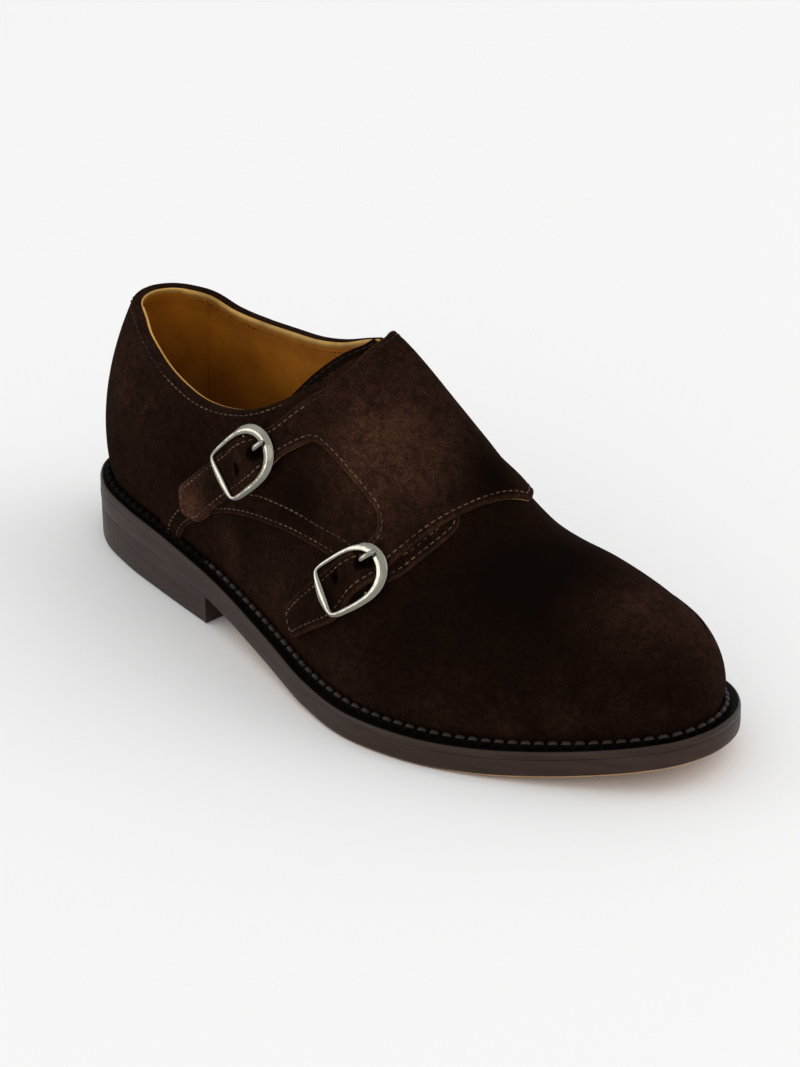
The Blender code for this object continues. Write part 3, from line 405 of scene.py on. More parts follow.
class Sheet:
    """The last's surface laid out flat by station and girth, for the pieces bent over it."""

    STEP = 1.0
    START = 60.0
    END = 240.0
    REACH = 128.0  # greatest girth on each side
    RAYS = 241  # points of each section from which its girths are measured

    def __init__(self, last: Last) -> None:
        """Measure the last's sections at even steps of girth."""
        self.last = last
        stations = np.arange(self.START, self.END + 0.1, self.STEP)
        girths = np.arange(-self.REACH, self.REACH + 0.1, self.STEP)
        angles = np.tile(np.linspace(0.5 * math.pi, 0.0, self.RAYS), (len(stations), 1))
        self.points = np.empty((len(stations), len(girths), 3))
        for side in Side:
            sections = Ribs.on_side(last, stations, side).points(angles)
            chosen = girths * side.value >= 0.0
            for row, section in enumerate(sections):
                self.points[row, chosen] = resample(section, np.abs(girths[chosen]))
        normals = np.cross(np.gradient(self.points, axis=0), np.gradient(self.points, axis=1))
        size = np.linalg.norm(normals, axis=2)
        self.normals = normals / np.maximum(size, 1e-9)[..., None]
        middle = len(girths) // 2
        for steps in (range(middle - 1, -1, -1), range(middle + 1, len(girths))):
            for j in steps:
                back = j + 1 if j < middle else j - 1
                flat = size[:, j] < 0.6 * self.STEP ** 2
                self.normals[flat, j] = self.normals[flat, back]

    def at(self, flat: Array, height: Values = 0.0) -> tuple[Array, Array]:
        """Place flat points over the last.

        Args:
            flat: Station and girth of each point.
            height: Height of each point over the last.

        Returns:
            The points and the directions square to the last there.
        """
        flat = np.asarray(flat, float)
        u = np.clip((flat[:, 0] - self.START) / self.STEP, 0, self.points.shape[0] - 1.001)
        v = np.clip((flat[:, 1] + self.REACH) / self.STEP, 0, self.points.shape[1] - 1.001)
        i, j = u.astype(int), v.astype(int)
        fu, fv = (u - i)[:, None], (v - j)[:, None]

        def blend(grid: Array) -> Array:
            """Mix the four grid values round each point."""
            near = grid[i, j] * (1 - fv) + grid[i, j + 1] * fv
            far = grid[i + 1, j] * (1 - fv) + grid[i + 1, j + 1] * fv
            return near * (1 - fu) + far * fu

        normal = unit(blend(self.normals))
        return blend(self.points) + normal * np.reshape(height, (-1, 1)), normal


# ---- meshes ----
def grid_faces(rings: int, count: int, close_rings: bool, close_count: bool) -> Faces:
    """Quads between neighbouring rings of points.

    Args:
        rings: Number of rings.
        count: Points in each ring.
        close_rings: Whether the last ring joins the first.
        close_count: Whether each ring closes on itself.

    Returns:
        Four point numbers for each face.
    """
    r = np.arange(rings if close_rings else rings - 1)[:, None]
    i = np.arange(count if close_count else count - 1)[None]
    s, j = (r + 1) % rings, (i + 1) % count
    faces = np.stack([r * count + i, r * count + j, s * count + j, s * count + i], axis=2)
    return faces.reshape(-1, 4).tolist()


def tube(rings: Sequence[Array], closed: bool) -> tuple[Array, Faces]:
    """Points and faces of a stack of rings that closes on itself or by a face at each end."""
    rows, count = len(rings), len(rings[0])
    faces = grid_faces(rows, count, closed, True)
    if not closed:
        faces += [[end + k for k in range(count)] for end in (0, (rows - 1) * count)]
    return np.vstack(rings), faces


def rod(path: Array, radius: Values, sides: int) -> tuple[Array, Faces]:
    """Round rod along a path, closed by flat ends.

    Args:
        path: Points of its middle line.
        radius: Radius, one number or one for each point.
        sides: Points round it.

    Returns:
        Its points and faces.
    """
    tangents = unit(np.gradient(path, axis=0))
    side = np.cross(tangents[0], (0.0, 0.0, 1.0) if abs(tangents[0][2]) < 0.8 else (1.0, 0.0, 0.0))
    cos, sin = np.cos(turns(sides)), np.sin(turns(sides))
    rings = []
    for spot, tangent, size in zip(path, tangents, np.broadcast_to(radius, len(path))):
        side = unit(side - tangent * (side @ tangent))
        rings.append(spot + size * (np.outer(cos, side) + np.outer(sin, np.cross(tangent, side))))
    return tube(rings, False)


def joined(mesh: bpy.types.Mesh, distance: float) -> bmesh.types.BMesh:
    """A mesh whose points within a distance are joined and whose faces are turned outwards."""
    work = bmesh.new()
    work.from_mesh(mesh)
    bmesh.ops.remove_doubles(work, verts=work.verts, dist=distance)
    bmesh.ops.recalc_face_normals(work, faces=work.faces)
    return work


@dataclass
class Draft:
    """Points and faces of a piece in the making, in the last maker's millimetres."""

    SAME_PLACE: ClassVar[float] = 0.004  # points closer than this are joined

    last: Last
    points: list[Array] = field(default_factory=list)
    faces: Faces = field(default_factory=list)
    finishes: list[int] = field(default_factory=list)
    pile_and_light_values: list[Array] = field(default_factory=list)
    count: int = 0

    def add(self, points: Any, faces: Iterable[Sequence[int]], finish: int | Sequence[int] = 0,
            nap: Values = 0.0) -> "Draft":
        """Add a stretch of mesh.

        Args:
            points: Its points.
            faces: Its faces by point number.
            finish: Number of the finish, one for all or one for each face.
            nap: How much lighter (darker where negative) the suede is painted at each point, for
                its pile and as painted light and shade.

        Returns:
            The draft itself.
        """
        faces = [[self.count + v for v in face] for face in faces]
        self.points.append(np.asarray(points, float).reshape(-1, 3))
        self.faces.extend(faces)
        self.finishes.extend(np.broadcast_to(finish, len(faces)).tolist())
        self.pile_and_light_values.append(np.broadcast_to(nap, len(self.points[-1])))
        self.count += len(self.points[-1])
        return self

    def cap(self, ring: Array, half: int, rows: int, finish: int = 0) -> None:
        """Close a ring by rows of faces from its first half across to its second."""
        near = ring[:half + 1]
        far = np.vstack([ring[:1], ring[::-1][:half]])
        self.add([near + (far - near) * t for t in np.linspace(0.0, 1.0, rows)],
                 grid_faces(rows, half + 1, False, False), finish)

    def stack(self, rings: Sequence[Array], bands: Array | int = 0, bottom: int = 0,
              rows: int = 7) -> "Draft":
        """Add a stack of rings whose points pair up across the shoe.

        Args:
            rings: Rings from the lowest to the highest.
            bands: Finish of the faces between them, one for all or one for each point.
            bottom: Finish of the lowest face.
            rows: Rows of points across the lowest and the highest face.

        Returns:
            The draft itself.
        """
        count = len(rings[0])
        self.add(rings, grid_faces(len(rings), count, False, True), np.ravel(np.broadcast_to(
            bands, (len(rings) - 1, count))))
        self.cap(rings[0], count // 2, rows, bottom)
        self.cap(rings[-1], count // 2, rows)
        return self

    def build(self, name: str, materials: Sequence[Material], slot: str,
              nodes: Sequence[str] = (), sharp: float = 50.0) -> bpy.types.Object:
        """Make the piece, hang it under the root body and hide the CAD parts that it stands for.

        Args:
            name: Name of the piece.
            materials: Materials that the finish numbers stand for.
            slot: Not used.
            nodes: CAD nodes that the piece stands for.
            sharp: Angle in degrees over which an edge stays sharp.

        Returns:
            The new object.
        """
        points = np.vstack(self.points)
        mesh = bpy.data.meshes.new(name)
        mesh.from_pydata(self.last.world(points).tolist(), [], self.faces)
        mesh.polygons.foreach_set("material_index", self.finishes)
        # The attribute paints the suede lighter or darker: pile and scuffs, and painted highlight,
        # sheen and shade.
        mesh.attributes.new("nap", "FLOAT", "POINT").data.foreach_set(
            "value", np.concatenate(self.pile_and_light_values) + pile_and_painted_light(points, name))
        work = joined(mesh, self.SAME_PLACE * MM)
        work.to_mesh(mesh)
        work.free()
        for item in materials:
            mesh.materials.append(item)
        mesh.shade_smooth()
        mesh.set_sharp_from_angle(angle=math.radians(sharp))
        piece = bpy.data.objects.new(name, mesh)
        bpy.context.scene.collection.objects.link(piece)
        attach(piece, "root")
        if nodes:
            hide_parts(*nodes)
        LOG.info("%s: %d faces", name, len(mesh.polygons))
        return piece


def shell(points: Array, normals: Array, faces: Sequence[Sequence[int]], top: Array,
          bottom: Array) -> tuple[Array, Faces, Faces, Faces]:
    """Give a sheet thickness.

    Args:
        points: The sheet's points.
        normals: Direction out of the sheet at each point.
        faces: The sheet's faces, wound outwards.
        top: Height of the outer skin over each point.
        bottom: Height of the inner skin over each point.

    Returns:
        The shell's points and the faces of its outer skin, its edge and its inner skin.
    """
    count = len(points)
    both = np.vstack([points + normals * np.reshape(top, (-1, 1)),
                      points + normals * np.reshape(bottom, (-1, 1))])
    directed = {(face[k - 1], face[k]) for face in faces for k in range(len(face))}
    edge = [[b, a, a + count, b + count] for a, b in directed if (b, a) not in directed]
    return both, list(faces), edge, [[v + count for v in reversed(face)] for face in faces]


class Panel:
    """A flat piece with holes, cut into triangles that are fine along its edges."""

    ROW = 0.87  # between rows of points, as a share of the cell
    CLEAR = 0.6  # between the repeated outlines and the points inside, likewise
    SMALLEST = 1e-4  # triangles under this area are dropped, mm2

    def __init__(self, outline: Array, cell: float, holes: Sequence[Array] = (),
                 rings: Sequence[float] = (0.25, 0.6, 1.1)) -> None:
        """Cut the piece.

        Args:
            outline: Closed outline with its inside to the left.
            cell: Spacing of the points inside.
            holes: Closed outlines of the holes.
            rings: Distances from the outline at which it is repeated inside.
        """
        self.outline = outline
        loops = [outline, *holes]
        low, high = outline.min(axis=0), outline.max(axis=0)
        free = np.vstack([
            np.stack(np.broadcast_arrays(
                np.arange(low[0] + 0.5 * cell * (k % 2), high[0], cell), girth), axis=1)
            for k, girth in enumerate(np.arange(low[1], high[1], self.ROW * cell))])
        free = free[inside(free, outline)]
        free = free[distance_to(free, outline) > rings[-1] + self.CLEAR * cell]
        for hole in holes:
            free = free[~inside(free, hole) & (distance_to(free, hole) > 0.5 * cell)]
        bands = [inset(outline, amount) for amount in rings]
        bands = [band[distance_to(band, outline) > 0.9 * amount]
                 for band, amount in zip(bands, rings)]
        edges: list[tuple[int, int]] = []
        for loop in loops:
            start, count = len(edges), len(loop)
            edges += [(start + k, start + (k + 1) % count) for k in range(count)]
        spots = [Vector(spot) for spot in np.vstack([*loops, free, *bands])]
        flat, _, faces, *_ = delaunay_2d_cdt(spots, edges, [], 0, 1e-5)
        self.flat = np.array([tuple(spot) for spot in flat])
        corners = self.flat[np.array(faces)]
        first, second = corners[:, 1] - corners[:, 0], corners[:, 2] - corners[:, 0]
        area = 0.5 * (first[:, 0] * second[:, 1] - first[:, 1] * second[:, 0])
        middle = corners.mean(axis=1)
        keep = (np.abs(area) > self.SMALLEST) & inside(middle, outline)
        for hole in holes:
            keep &= ~inside(middle, hole)
        self.faces = [list(face)[::1 if area[k] > 0 else -1]
                      for k, face in enumerate(faces) if keep[k]]
        self.edge = np.min([distance_to(self.flat, loop) for loop in loops], axis=0)

    def bend(self, sheet: Sheet, top: Array, bottom: Array, finishes: Sequence[int] = (0, 0, 0),
             nap: Values = 0.0) -> Draft:
        """Bend the piece over the last.

        Args:
            sheet: The last's surface.
            top: Height of the outer skin over each point.
            bottom: Height of the inner skin over each point.
            finishes: Numbers of the outer skin's, the edge's and the inner skin's finish.
            nap: How much lighter (darker where negative) the suede is painted at each point, for
                its pile and as painted light and shade.

        Returns:
            The bent piece.
        """
        points, *parts = shell(*sheet.at(self.flat), self.faces, top, bottom)
        nap = np.tile(np.broadcast_to(nap, len(self.flat)), 2)
        return Draft(sheet.last).add(points, sum(parts, []), [
            number for part, number in zip(parts, finishes) for _ in part], nap)


def edge_drop(distance: Array, radius: float) -> Array:
    """How far a rounded edge lies under the flat, by the distance from the edge."""
    t = np.clip(1.0 - distance / radius, 0.0, 1.0)
    return radius * (1.0 - np.sqrt(np.maximum(1.0 - t * t, 0.0)))


def groove(distance: Array, inwards: float, width: float, depth: float) -> Array:
    """Depth of the soft channel that a row of stitches pulls into the leather."""
    return depth * np.exp(-((distance - inwards) / width) ** 2)


def weld(points: Array, faces: Faces) -> tuple[Array, Array, Faces]:
    """Join points that coincide.

    Args:
        points: Points in millimetres.
        faces: Faces by point number.

    Returns:
        The points, the directions square to the surface there, and the faces.
    """
    mesh = bpy.data.meshes.new("weld")
    mesh.from_pydata(points.tolist(), [], faces)
    work = joined(mesh, 0.01)
    work.normal_update()
    work.verts.index_update()
    spots = np.array([tuple(vert.co) for vert in work.verts])
    normals = np.array([tuple(vert.normal) for vert in work.verts])
    faces = [[vert.index for vert in face.verts] for face in work.faces]
    work.free()
    bpy.data.meshes.remove(mesh)
    return spots, normals, faces


# ---- pile, scuffs and painted light ----
class PileAndPaintedLight(NamedTuple):
    """Soft patch where the suede is painted lighter (or darker, if weight is negative): brush marks
    and scuffs on some, painted highlight, sheen and shade on others.
    """

    x: float
    y: float
    z: float
    radius: float
    weight: float
    only: str = ""  # the one piece that it lies on; empty for every piece


PILE_AND_PAINTED_LIGHT_PATCHES = tuple(PileAndPaintedLight(*row) for row in (
    (170, -24, 92, 22, 0.38),  # the flap over the instep: lighter pile and painted highlight
    (184, -11, 89, 16, 0.06), (194, 8, 84, 13, -0.12), (150, -16, 112, 16, 0.03),
    (186, -44, 68, 12, 0.05),
    (80, -38, 44, 15, 0.66, "flap_suede"),  # tip of the upper strap: lighter pile and painted highlight
    (113, -42, 70, 12, 0.09),  # the same strap inside its buckle
    (22, -30, 72, 30, 0.08),  # back of the outer quarter
    (78, -36, 54, 26, -0.07),  # painted shade low on the heel, over its breast and round its back
    (16, -24, 34, 24, -0.1),
    (130, -50, 24, 24, 0.09),  # low on the outer side
    (222, -18, 58, 44, -0.10),  # vamp: darker pile and painted shade on its top
    (240, 12, 62, 34, -0.09), (212, -54, 28, 26, -0.06),
    (264, -24, 42, 24, -0.05),  # round the toe
    (294, 0, 36, 18, -0.08),
    (266, 6, 56, 19, 0.09),  # shoulder of the toe: painted sheen near its outline
    (278, 30, 46, 16, 0.1),
    (146, -40, 72, 16, -0.13),  # painted shade in the cut-out between the straps
    (120, -44, 42, 18, -0.1),  # painted shade under the arc of the quarter
    (163, -54, 35, 14, -0.06),
    (106, -40, 36, 11, 0.13),  # rubbed under the arc and above the welt
    (187, -56, 16, 12, 0.10), (222, -52, 17, 14, 0.07),
    (266, 14, 56, 6.0, 0.10),  # scuffs on the toe
    (262, -24, 39, 3.5, 0.05), (268, -27, 23, 5.0, 0.08), (294, -3, 30, 3.0, 0.06),
    (252, -37, 18, 4.5, 0.07),
    (176, 45, 60, 26, 0.12),  # inner side
    (60, 32, 60, 30, 0.08), (230, 48, 30, 28, 0.06)))


def pile_and_painted_light(points: Array, name: str) -> Array:
    """How much lighter the patches paint the suede at the points of a named piece, darker where
    negative.
    """
    value = np.zeros(len(points))
    for patch in PILE_AND_PAINTED_LIGHT_PATCHES:
        if patch.only in ("", name):
            away = np.linalg.norm(points - patch[:3], axis=1) / patch.radius
            value += patch.weight * np.exp(-away ** 2)
    return value


# ---- finishes ----
def linear(colour: str) -> tuple[float, float, float, float]:
    """Linear colour of an sRGB hex value."""
    parts = [int(colour[k:k + 2], 16) / 255.0 for k in (1, 3, 5)]
    return (*[p / 12.92 if p <= 0.04045 else ((p + 0.055) / 1.055) ** 2.4 for p in parts], 1.0)


Source = tuple[bpy.types.Node, int | str]


def add_node(tree: bpy.types.NodeTree, kind: str, inputs: dict[int | str, Any] | None = None,
             stops: Sequence[tuple[float, str]] = (), **settings: Any) -> bpy.types.Node:
    """Add a node with its settings and links.

    Args:
        tree: Node tree of the material.
        kind: Node type without its ShaderNode prefix.
        inputs: For each input its fixed value, or the node and the output that feed it.
        stops: Place and sRGB hex colour of each end of a colour ramp.
        settings: Properties of the node itself.

    Returns:
        The new node.
    """
    node = tree.nodes.new("ShaderNode" + kind)
    for key, value in settings.items():
        setattr(node, key, value)
    for key, value in (inputs or {}).items():
        if isinstance(value, tuple) and isinstance(value[0], bpy.types.Node):
            tree.links.new(value[0].outputs[value[1]], node.inputs[key])
        else:
            node.inputs[key].default_value = value
    for k, (place, colour) in enumerate(stops):
        node.color_ramp.elements[k].position = place
        node.color_ramp.elements[k].color = linear(colour)
    return node


class Bench:
    """A material in the making, with its shader and its object coordinates."""

    def __init__(self, name: str, **constants: Any) -> None:
        """Start a material with the shader's constants, named with underscores for spaces."""
        self.material = bpy.data.materials.new(name)
        self.material.use_nodes = True
        self.tree = self.material.node_tree
        self.shader = self.tree.nodes["Principled BSDF"]
        for key, value in constants.items():
            self.shader.inputs[key.replace("_", " ")].default_value = value
        self.material.diffuse_color = self.shader.inputs["Base Color"].default_value
        self.spot = (add_node(self.tree, "TexCoord"), "Object")

    def add(self, kind: str, inputs: dict[int | str, Any], output: int | str = 0,
            **rest: Any) -> Source:
        """Add a node as add_node does, and return it with the output that is used."""
        return add_node(self.tree, kind, inputs, **rest), output

    def done(self, **sources: Source) -> Material:
        """Feed the shader's other inputs and return the material."""
        for key, (node, output) in sources.items():
            self.tree.links.new(node.outputs[output], self.shader.inputs[key.replace("_", " ")])
        return self.material


@dataclass(frozen=True)
class Suede:
    """Calf suede, split and buffed to a short pile.

    The pile hides every highlight and glows faintly where it is seen edge on. A value at each point
    paints it lighter or darker: brush marks and scuffs, and painted highlight, sheen and shade.
    """

    name: str = "dark_brown_calf_suede"
    dark: str = "#0a0503"
    light: str = "#4a3024"
    level: float = 0.14  # share of the light colour where nothing paints the suede lighter or darker
    mottle: float = 10.0  # spacing of the brush marks, mm
    streak: float = 3.4  # spacing of short streaks in the nap, mm
    fibre: float = 0.6  # tufts, mm: coarser than the real 0.1 mm fibres, so that they show
    sheen: float = 0.02
    reaches: Triple = (0.34, 0.46, 0.6)  # how far the three change the share of light

    def material(self) -> Material:
        """Make the material."""
        bench = Bench(self.name, Roughness=0.97, Specular_IOR_Level=0.01, IOR=1.5,
                      Sheen_Weight=self.sheen, Sheen_Roughness=0.5, Sheen_Tint=linear("#8a6450"))
        noises = [bench.add("TexNoise", {"Vector": bench.spot, "Scale": 1000.0 / size,
                                         "Detail": detail, "Roughness": 0.6, "Distortion": bend})
                  for size, detail, bend in ((self.mottle, 3.0, 0.5), (self.streak, 2.0, 0.9),
                                             (self.fibre, 1.0, 0.0))]
        # The per-point attribute paints the suede lighter or darker: pile and scuffs, with painted
        # highlight, sheen and shade.
        nap = bench.add("Attribute", {}, "Fac", attribute_name="nap")
        total = bench.add("Math", {0: nap, 1: self.level}, operation="ADD", use_clamp=True)
        for noise, reach in zip(noises, self.reaches):
            factor = bench.add("MapRange", {"Value": noise, "From Min": 0.28, "From Max": 0.72,
                                            "To Min": 1.0 - reach, "To Max": 1.0 + reach},
                               clamp=False)
            total = bench.add("Math", {0: total, 1: factor}, operation="MULTIPLY", use_clamp=True)
        ramp = bench.add("ValToRGB", {"Fac": total}, stops=((0.0, self.dark), (1.0, self.light)))
        bump = bench.add("Bump", {"Height": noises[2], "Strength": 0.5, "Distance": 0.22 * MM})
        bump = bench.add("Bump", {"Height": noises[1], "Normal": bump, "Strength": 0.35,
                                  "Distance": 0.5 * MM})
        return bench.done(Base_Color=ramp, Normal=bump)


@dataclass(frozen=True)
class SmoothLeather:
    """Vegetable-tanned calf, drum-dyed tan and lightly plated.

    Its fine pores soften a low sheen, and handling leaves faint darker clouds. Below a set height
    it is painted darker: painted shade.
    """

    name: str = "tan_calf_lining"
    colour: str = "#c0781a"
    clouded: str = "#a56212"
    grain: float = 0.9  # pore spacing, mm
    cloud: float = 18.0  # spacing of the clouds, mm
    roughness: float = 0.55
    painted_light_from: float = 1.0  # painted shade: height over the floor under which it is painted darker, mm

    def material(self) -> Material:
        """Make the material."""
        bench = Bench(self.name, IOR=1.5, Specular_IOR_Level=0.35)
        cloud = bench.add("TexNoise", {"Vector": bench.spot, "Scale": 1000.0 / self.cloud,
                                       "Detail": 4.0, "Roughness": 0.6})
        grain = bench.add("TexVoronoi", {"Vector": bench.spot, "Scale": 1000.0 / self.grain},
                          "Distance", feature="SMOOTH_F1")
        ramp = bench.add("ValToRGB", {"Fac": cloud},
                         stops=((0.35, self.clouded), (0.68, self.colour)))
        height = bench.add("SeparateXYZ", {"Vector": bench.spot}, "Z")
        # Painted shade: darker towards the bottom, under the set height.
        painted_shade = bench.add("MapRange", {"Value": height, "From Min": 0.5 * self.painted_light_from * MM,
                                      "From Max": self.painted_light_from * MM, "To Min": 0.4,
                                      "To Max": 1.0})
        shade = bench.add("VectorMath", {0: ramp, 1: painted_shade}, operation="MULTIPLY")
        rough = bench.add("MapRange", {"Value": grain, "To Min": self.roughness - 0.08,
                                       "To Max": self.roughness + 0.12})
        bump = bench.add("Bump", {"Height": grain, "Strength": 0.25, "Distance": 0.12 * MM})
        return bench.done(Base_Color=shade, Roughness=rough, Normal=bump)


@dataclass(frozen=True)
class EdgeFinish:
    """Leather sole edge, trimmed on a wheel, inked dark brown and waxed.

    The wheel leaves faint lines along the edge, and the wax gives a broad, low sheen.
    """

    name: str = "inked_sole_edge"
    colour: str = "#241710"
    worn: str = "#38271e"
    layer: float = 2.6  # spacing of the faint lines along the edge, mm
    roughness: float = 0.46
    gloss: float = 0.21  # specular level

    def material(self) -> Material:
        """Make the material."""
        bench = Bench(self.name, IOR=1.5, Specular_IOR_Level=self.gloss)
        stretch = bench.add("Mapping", {"Vector": bench.spot,
                                        "Scale": (35.0, 35.0, 1000.0 / self.layer)})
        lines = bench.add("TexNoise", {"Vector": stretch, "Scale": 1.0, "Detail": 3.0,
                                       "Roughness": 0.6})
        fine = bench.add("TexNoise", {"Vector": bench.spot, "Scale": 900.0, "Detail": 2.0})
        ramp = bench.add("ValToRGB", {"Fac": lines},
                         stops=((0.3, self.colour), (0.78, self.worn)))
        rough = bench.add("MapRange", {"Value": fine, "To Min": self.roughness - 0.08,
                                       "To Max": self.roughness + 0.14})
        bump = bench.add("Bump", {"Height": lines, "Strength": 0.2, "Distance": 0.15 * MM})
        return bench.done(Base_Color=ramp, Roughness=rough, Normal=bump)


@dataclass(frozen=True)
class PolishedSteel:
    """Cast steel, nickel-plated and polished on a buff.

    It mirrors the studio, blurred a little by the buffing, over slight waves from the casting.
    """

    name: str = "polished_nickel_steel"
    colour: str = "#868379"
    roughness: float = 0.12
    wave: float = 4.0  # spacing of the casting's waves, mm

    def material(self) -> Material:
        """Make the material."""
        bench = Bench(self.name, Metallic=1.0, Base_Color=linear(self.colour))
        wave = bench.add("TexNoise", {"Vector": bench.spot, "Scale": 1000.0 / self.wave,
                                      "Detail": 2.0})
        rough = bench.add("MapRange", {"Value": wave, "To Min": self.roughness - 0.04,
                                       "To Max": self.roughness + 0.08})
        bump = bench.add("Bump", {"Height": wave, "Strength": 0.4, "Distance": 0.4 * MM})
        return bench.done(Roughness=rough, Normal=bump)


@dataclass(frozen=True)
class Thread:
    """Bonded polyester thread of three plies, waxed.

    The twisted plies break its light into short glints.
    """

    name: str = "brown_waxed_thread"
    colour: str = "#66503c"
    ply: float = 0.5  # spacing of the plies, mm
    rub: float = 9.0  # spacing of places where dye has rubbed on to it, mm

    def material(self) -> Material:
        """Make the material."""
        bench = Bench(self.name, Roughness=0.6, IOR=1.5, Specular_IOR_Level=0.15)
        ply = bench.add("TexNoise", {"Vector": bench.spot, "Scale": 1000.0 / self.ply,
                                     "Detail": 1.0})
        ramp = bench.add("ValToRGB", {"Fac": ply}, stops=((0.3, self.colour), (0.6, self.colour)))
        dim = [0.45 * part for part in linear(self.colour)[:3]]
        ramp[0].color_ramp.elements[0].color = (*dim, 1.0)
        rub = bench.add("TexNoise", {"Vector": bench.spot, "Scale": 1000.0 / self.rub,
                                     "Detail": 3.0, "Roughness": 0.7})
        darkened = bench.add("MapRange", {"Value": rub, "From Min": 0.38, "From Max": 0.62,
                                        "To Min": 0.3, "To Max": 1.15})
        shade = bench.add("VectorMath", {0: ramp, 1: darkened}, operation="MULTIPLY")
        bump = bench.add("Bump", {"Height": ply, "Strength": 0.4, "Distance": 0.1 * MM})
        return bench.done(Base_Color=shade, Normal=bump)


@dataclass(frozen=True)
class Paper:
    """Matt seamless studio paper, whose fine tooth keeps every reflection off it."""

    name: str = "studio_paper"
    colour: str = "#ebebeb"
    tooth: float = 0.8  # mm

    def material(self) -> Material:
        """Make the material."""
        bench = Bench(self.name, Roughness=0.9, IOR=1.45, Base_Color=linear(self.colour))
        tooth = bench.add("TexNoise", {"Vector": bench.spot, "Scale": 1000.0 / self.tooth,
                                       "Detail": 2.0})
        bump = bench.add("Bump", {"Height": tooth, "Strength": 0.05, "Distance": 0.1 * MM})
        return bench.done(Normal=bump)


class Finishes:
    """The shoe's materials, each made once."""

    def __init__(self) -> None:
        """Make every material."""
        self.suede = Suede().material()
        # Painted shade: a darker copy of the suede for the tongue, which lies in shadow inside the
        # throat.
        self.shaded_suede = Suede("tongue_suede_painted_shade", level=0.03).material()
        # Painted shade: the lining is painted darker deep in the shoe, below 80 mm and most below
        # 40 mm.
        self.lining = SmoothLeather(painted_light_from=80.0).material()
        self.sock = SmoothLeather("tan_calf_sock", "#6e3f10", "#59320a").material()
        self.cut_edge = SmoothLeather("raw_cut_leather_edge", "#c0964c", "#8f6a30", grain=0.5,
                                      roughness=0.85).material()
        self.sole_edge = EdgeFinish().material()
        # Bead tops forward of the set station take the first welt finish, rubbed with painted
        # highlight; the rest of the rim and the ledge's top take the near-black one, ink with
        # painted shade.
        self.welt = EdgeFinish("welt_bead_tops_rubbed_and_painted_highlight", "#1c1411", "#342823", roughness=0.45,
                               gloss=0.16).material()
        self.welt_ground = EdgeFinish("inked_welt_painted_shade", "#050302", "#0e0906", roughness=0.6,
                                      gloss=0.02).material()
        # Where the sole lies within 1 mm of the floor its leather is painted darker: painted
        # contact shade.
        self.underside = SmoothLeather("tan_outsole_leather", "#c39a6b", "#a87f52", grain=1.2,
                                       roughness=0.6).material()
        self.steel = PolishedSteel().material()
        self.thread = Thread().material()
        # The darker thread also serves the tongue's stitches, where it is painted shade.
        self.dark_thread = Thread("dark_brown_thread", "#2a1c14").material()
        self.lining_thread = Thread("tan_waxed_thread", "#8a5a1e").material()


# ---- stitching ----
@dataclass
class Stitching:
    """Rows of lockstitch: each stitch is a short thread that dips into the leather at its ends."""

    pitch: float = 2.9
    length: float = 2.0
    radius: float = 0.28
    stand: float = 0.16  # middle of a stitch over the leather
    sides: int = 6
    # place along the stitch, height and width of each section, as shares of the sizes above
    sections: Triples = (
        (-0.5, -0.5, 0.55), (-0.36, 0.1, 0.95), (-0.12, 0.8, 1.0), (0.12, 0.8, 1.0),
        (0.36, 0.1, 0.95), (0.5, -0.5, 0.55))

    def row(self, draft: Draft, points: Array, normals: Array, darkened: Array | bool = False
            ) -> Draft:
        """Sew one row along a path.

        Args:
            draft: Mesh that the stitches are added to.
            points: The path on the leather's surface.
            normals: Direction out of the leather along the path.
            darkened: Where along the path the thread takes the mesh's second, darker finish.

        Returns:
            The draft.
        """
        run = lengths(points)
        count = max(1, int(run[-1] // self.pitch))
        margin = 0.5 * (run[-1] - (count - 1) * self.pitch)
        dark = np.broadcast_to(darkened, len(points)).astype(int)
        cos, sin = (part(turns(self.sides))[:, None] for part in (np.cos, np.sin))
        for middle in margin + np.arange(count) * self.pitch:
            places = middle + self.length * np.array(self.sections)[:, 0]
            path = resample(points, places)
            up = np.stack([np.interp(places, run, normals[:, c]) for c in range(3)], axis=1)
            if np.linalg.norm(path[-1] - path[0]) < 0.3 * self.length:
                continue
            side = unit(np.cross(up, path[-1] - path[0]))
            rings = [spot + lift * self.stand * height
                     + (across * cos + lift * sin) * self.radius * width
                     for spot, lift, across, (_, height, width) in zip(path, up, side,
                                                                       self.sections)]
            draft.add(*tube(rings, False), int(dark[np.searchsorted(run, middle)]))
        return draft


@dataclass
class Assembly:
    """A sub-assembly of the shoe, with the form, finishes and stitches that it is made with."""

    sheet: Sheet
    finishes: Finishes
    stitching: Stitching

    @property
    def last(self) -> Last:
        """The last under the sheet."""
        return self.sheet.last


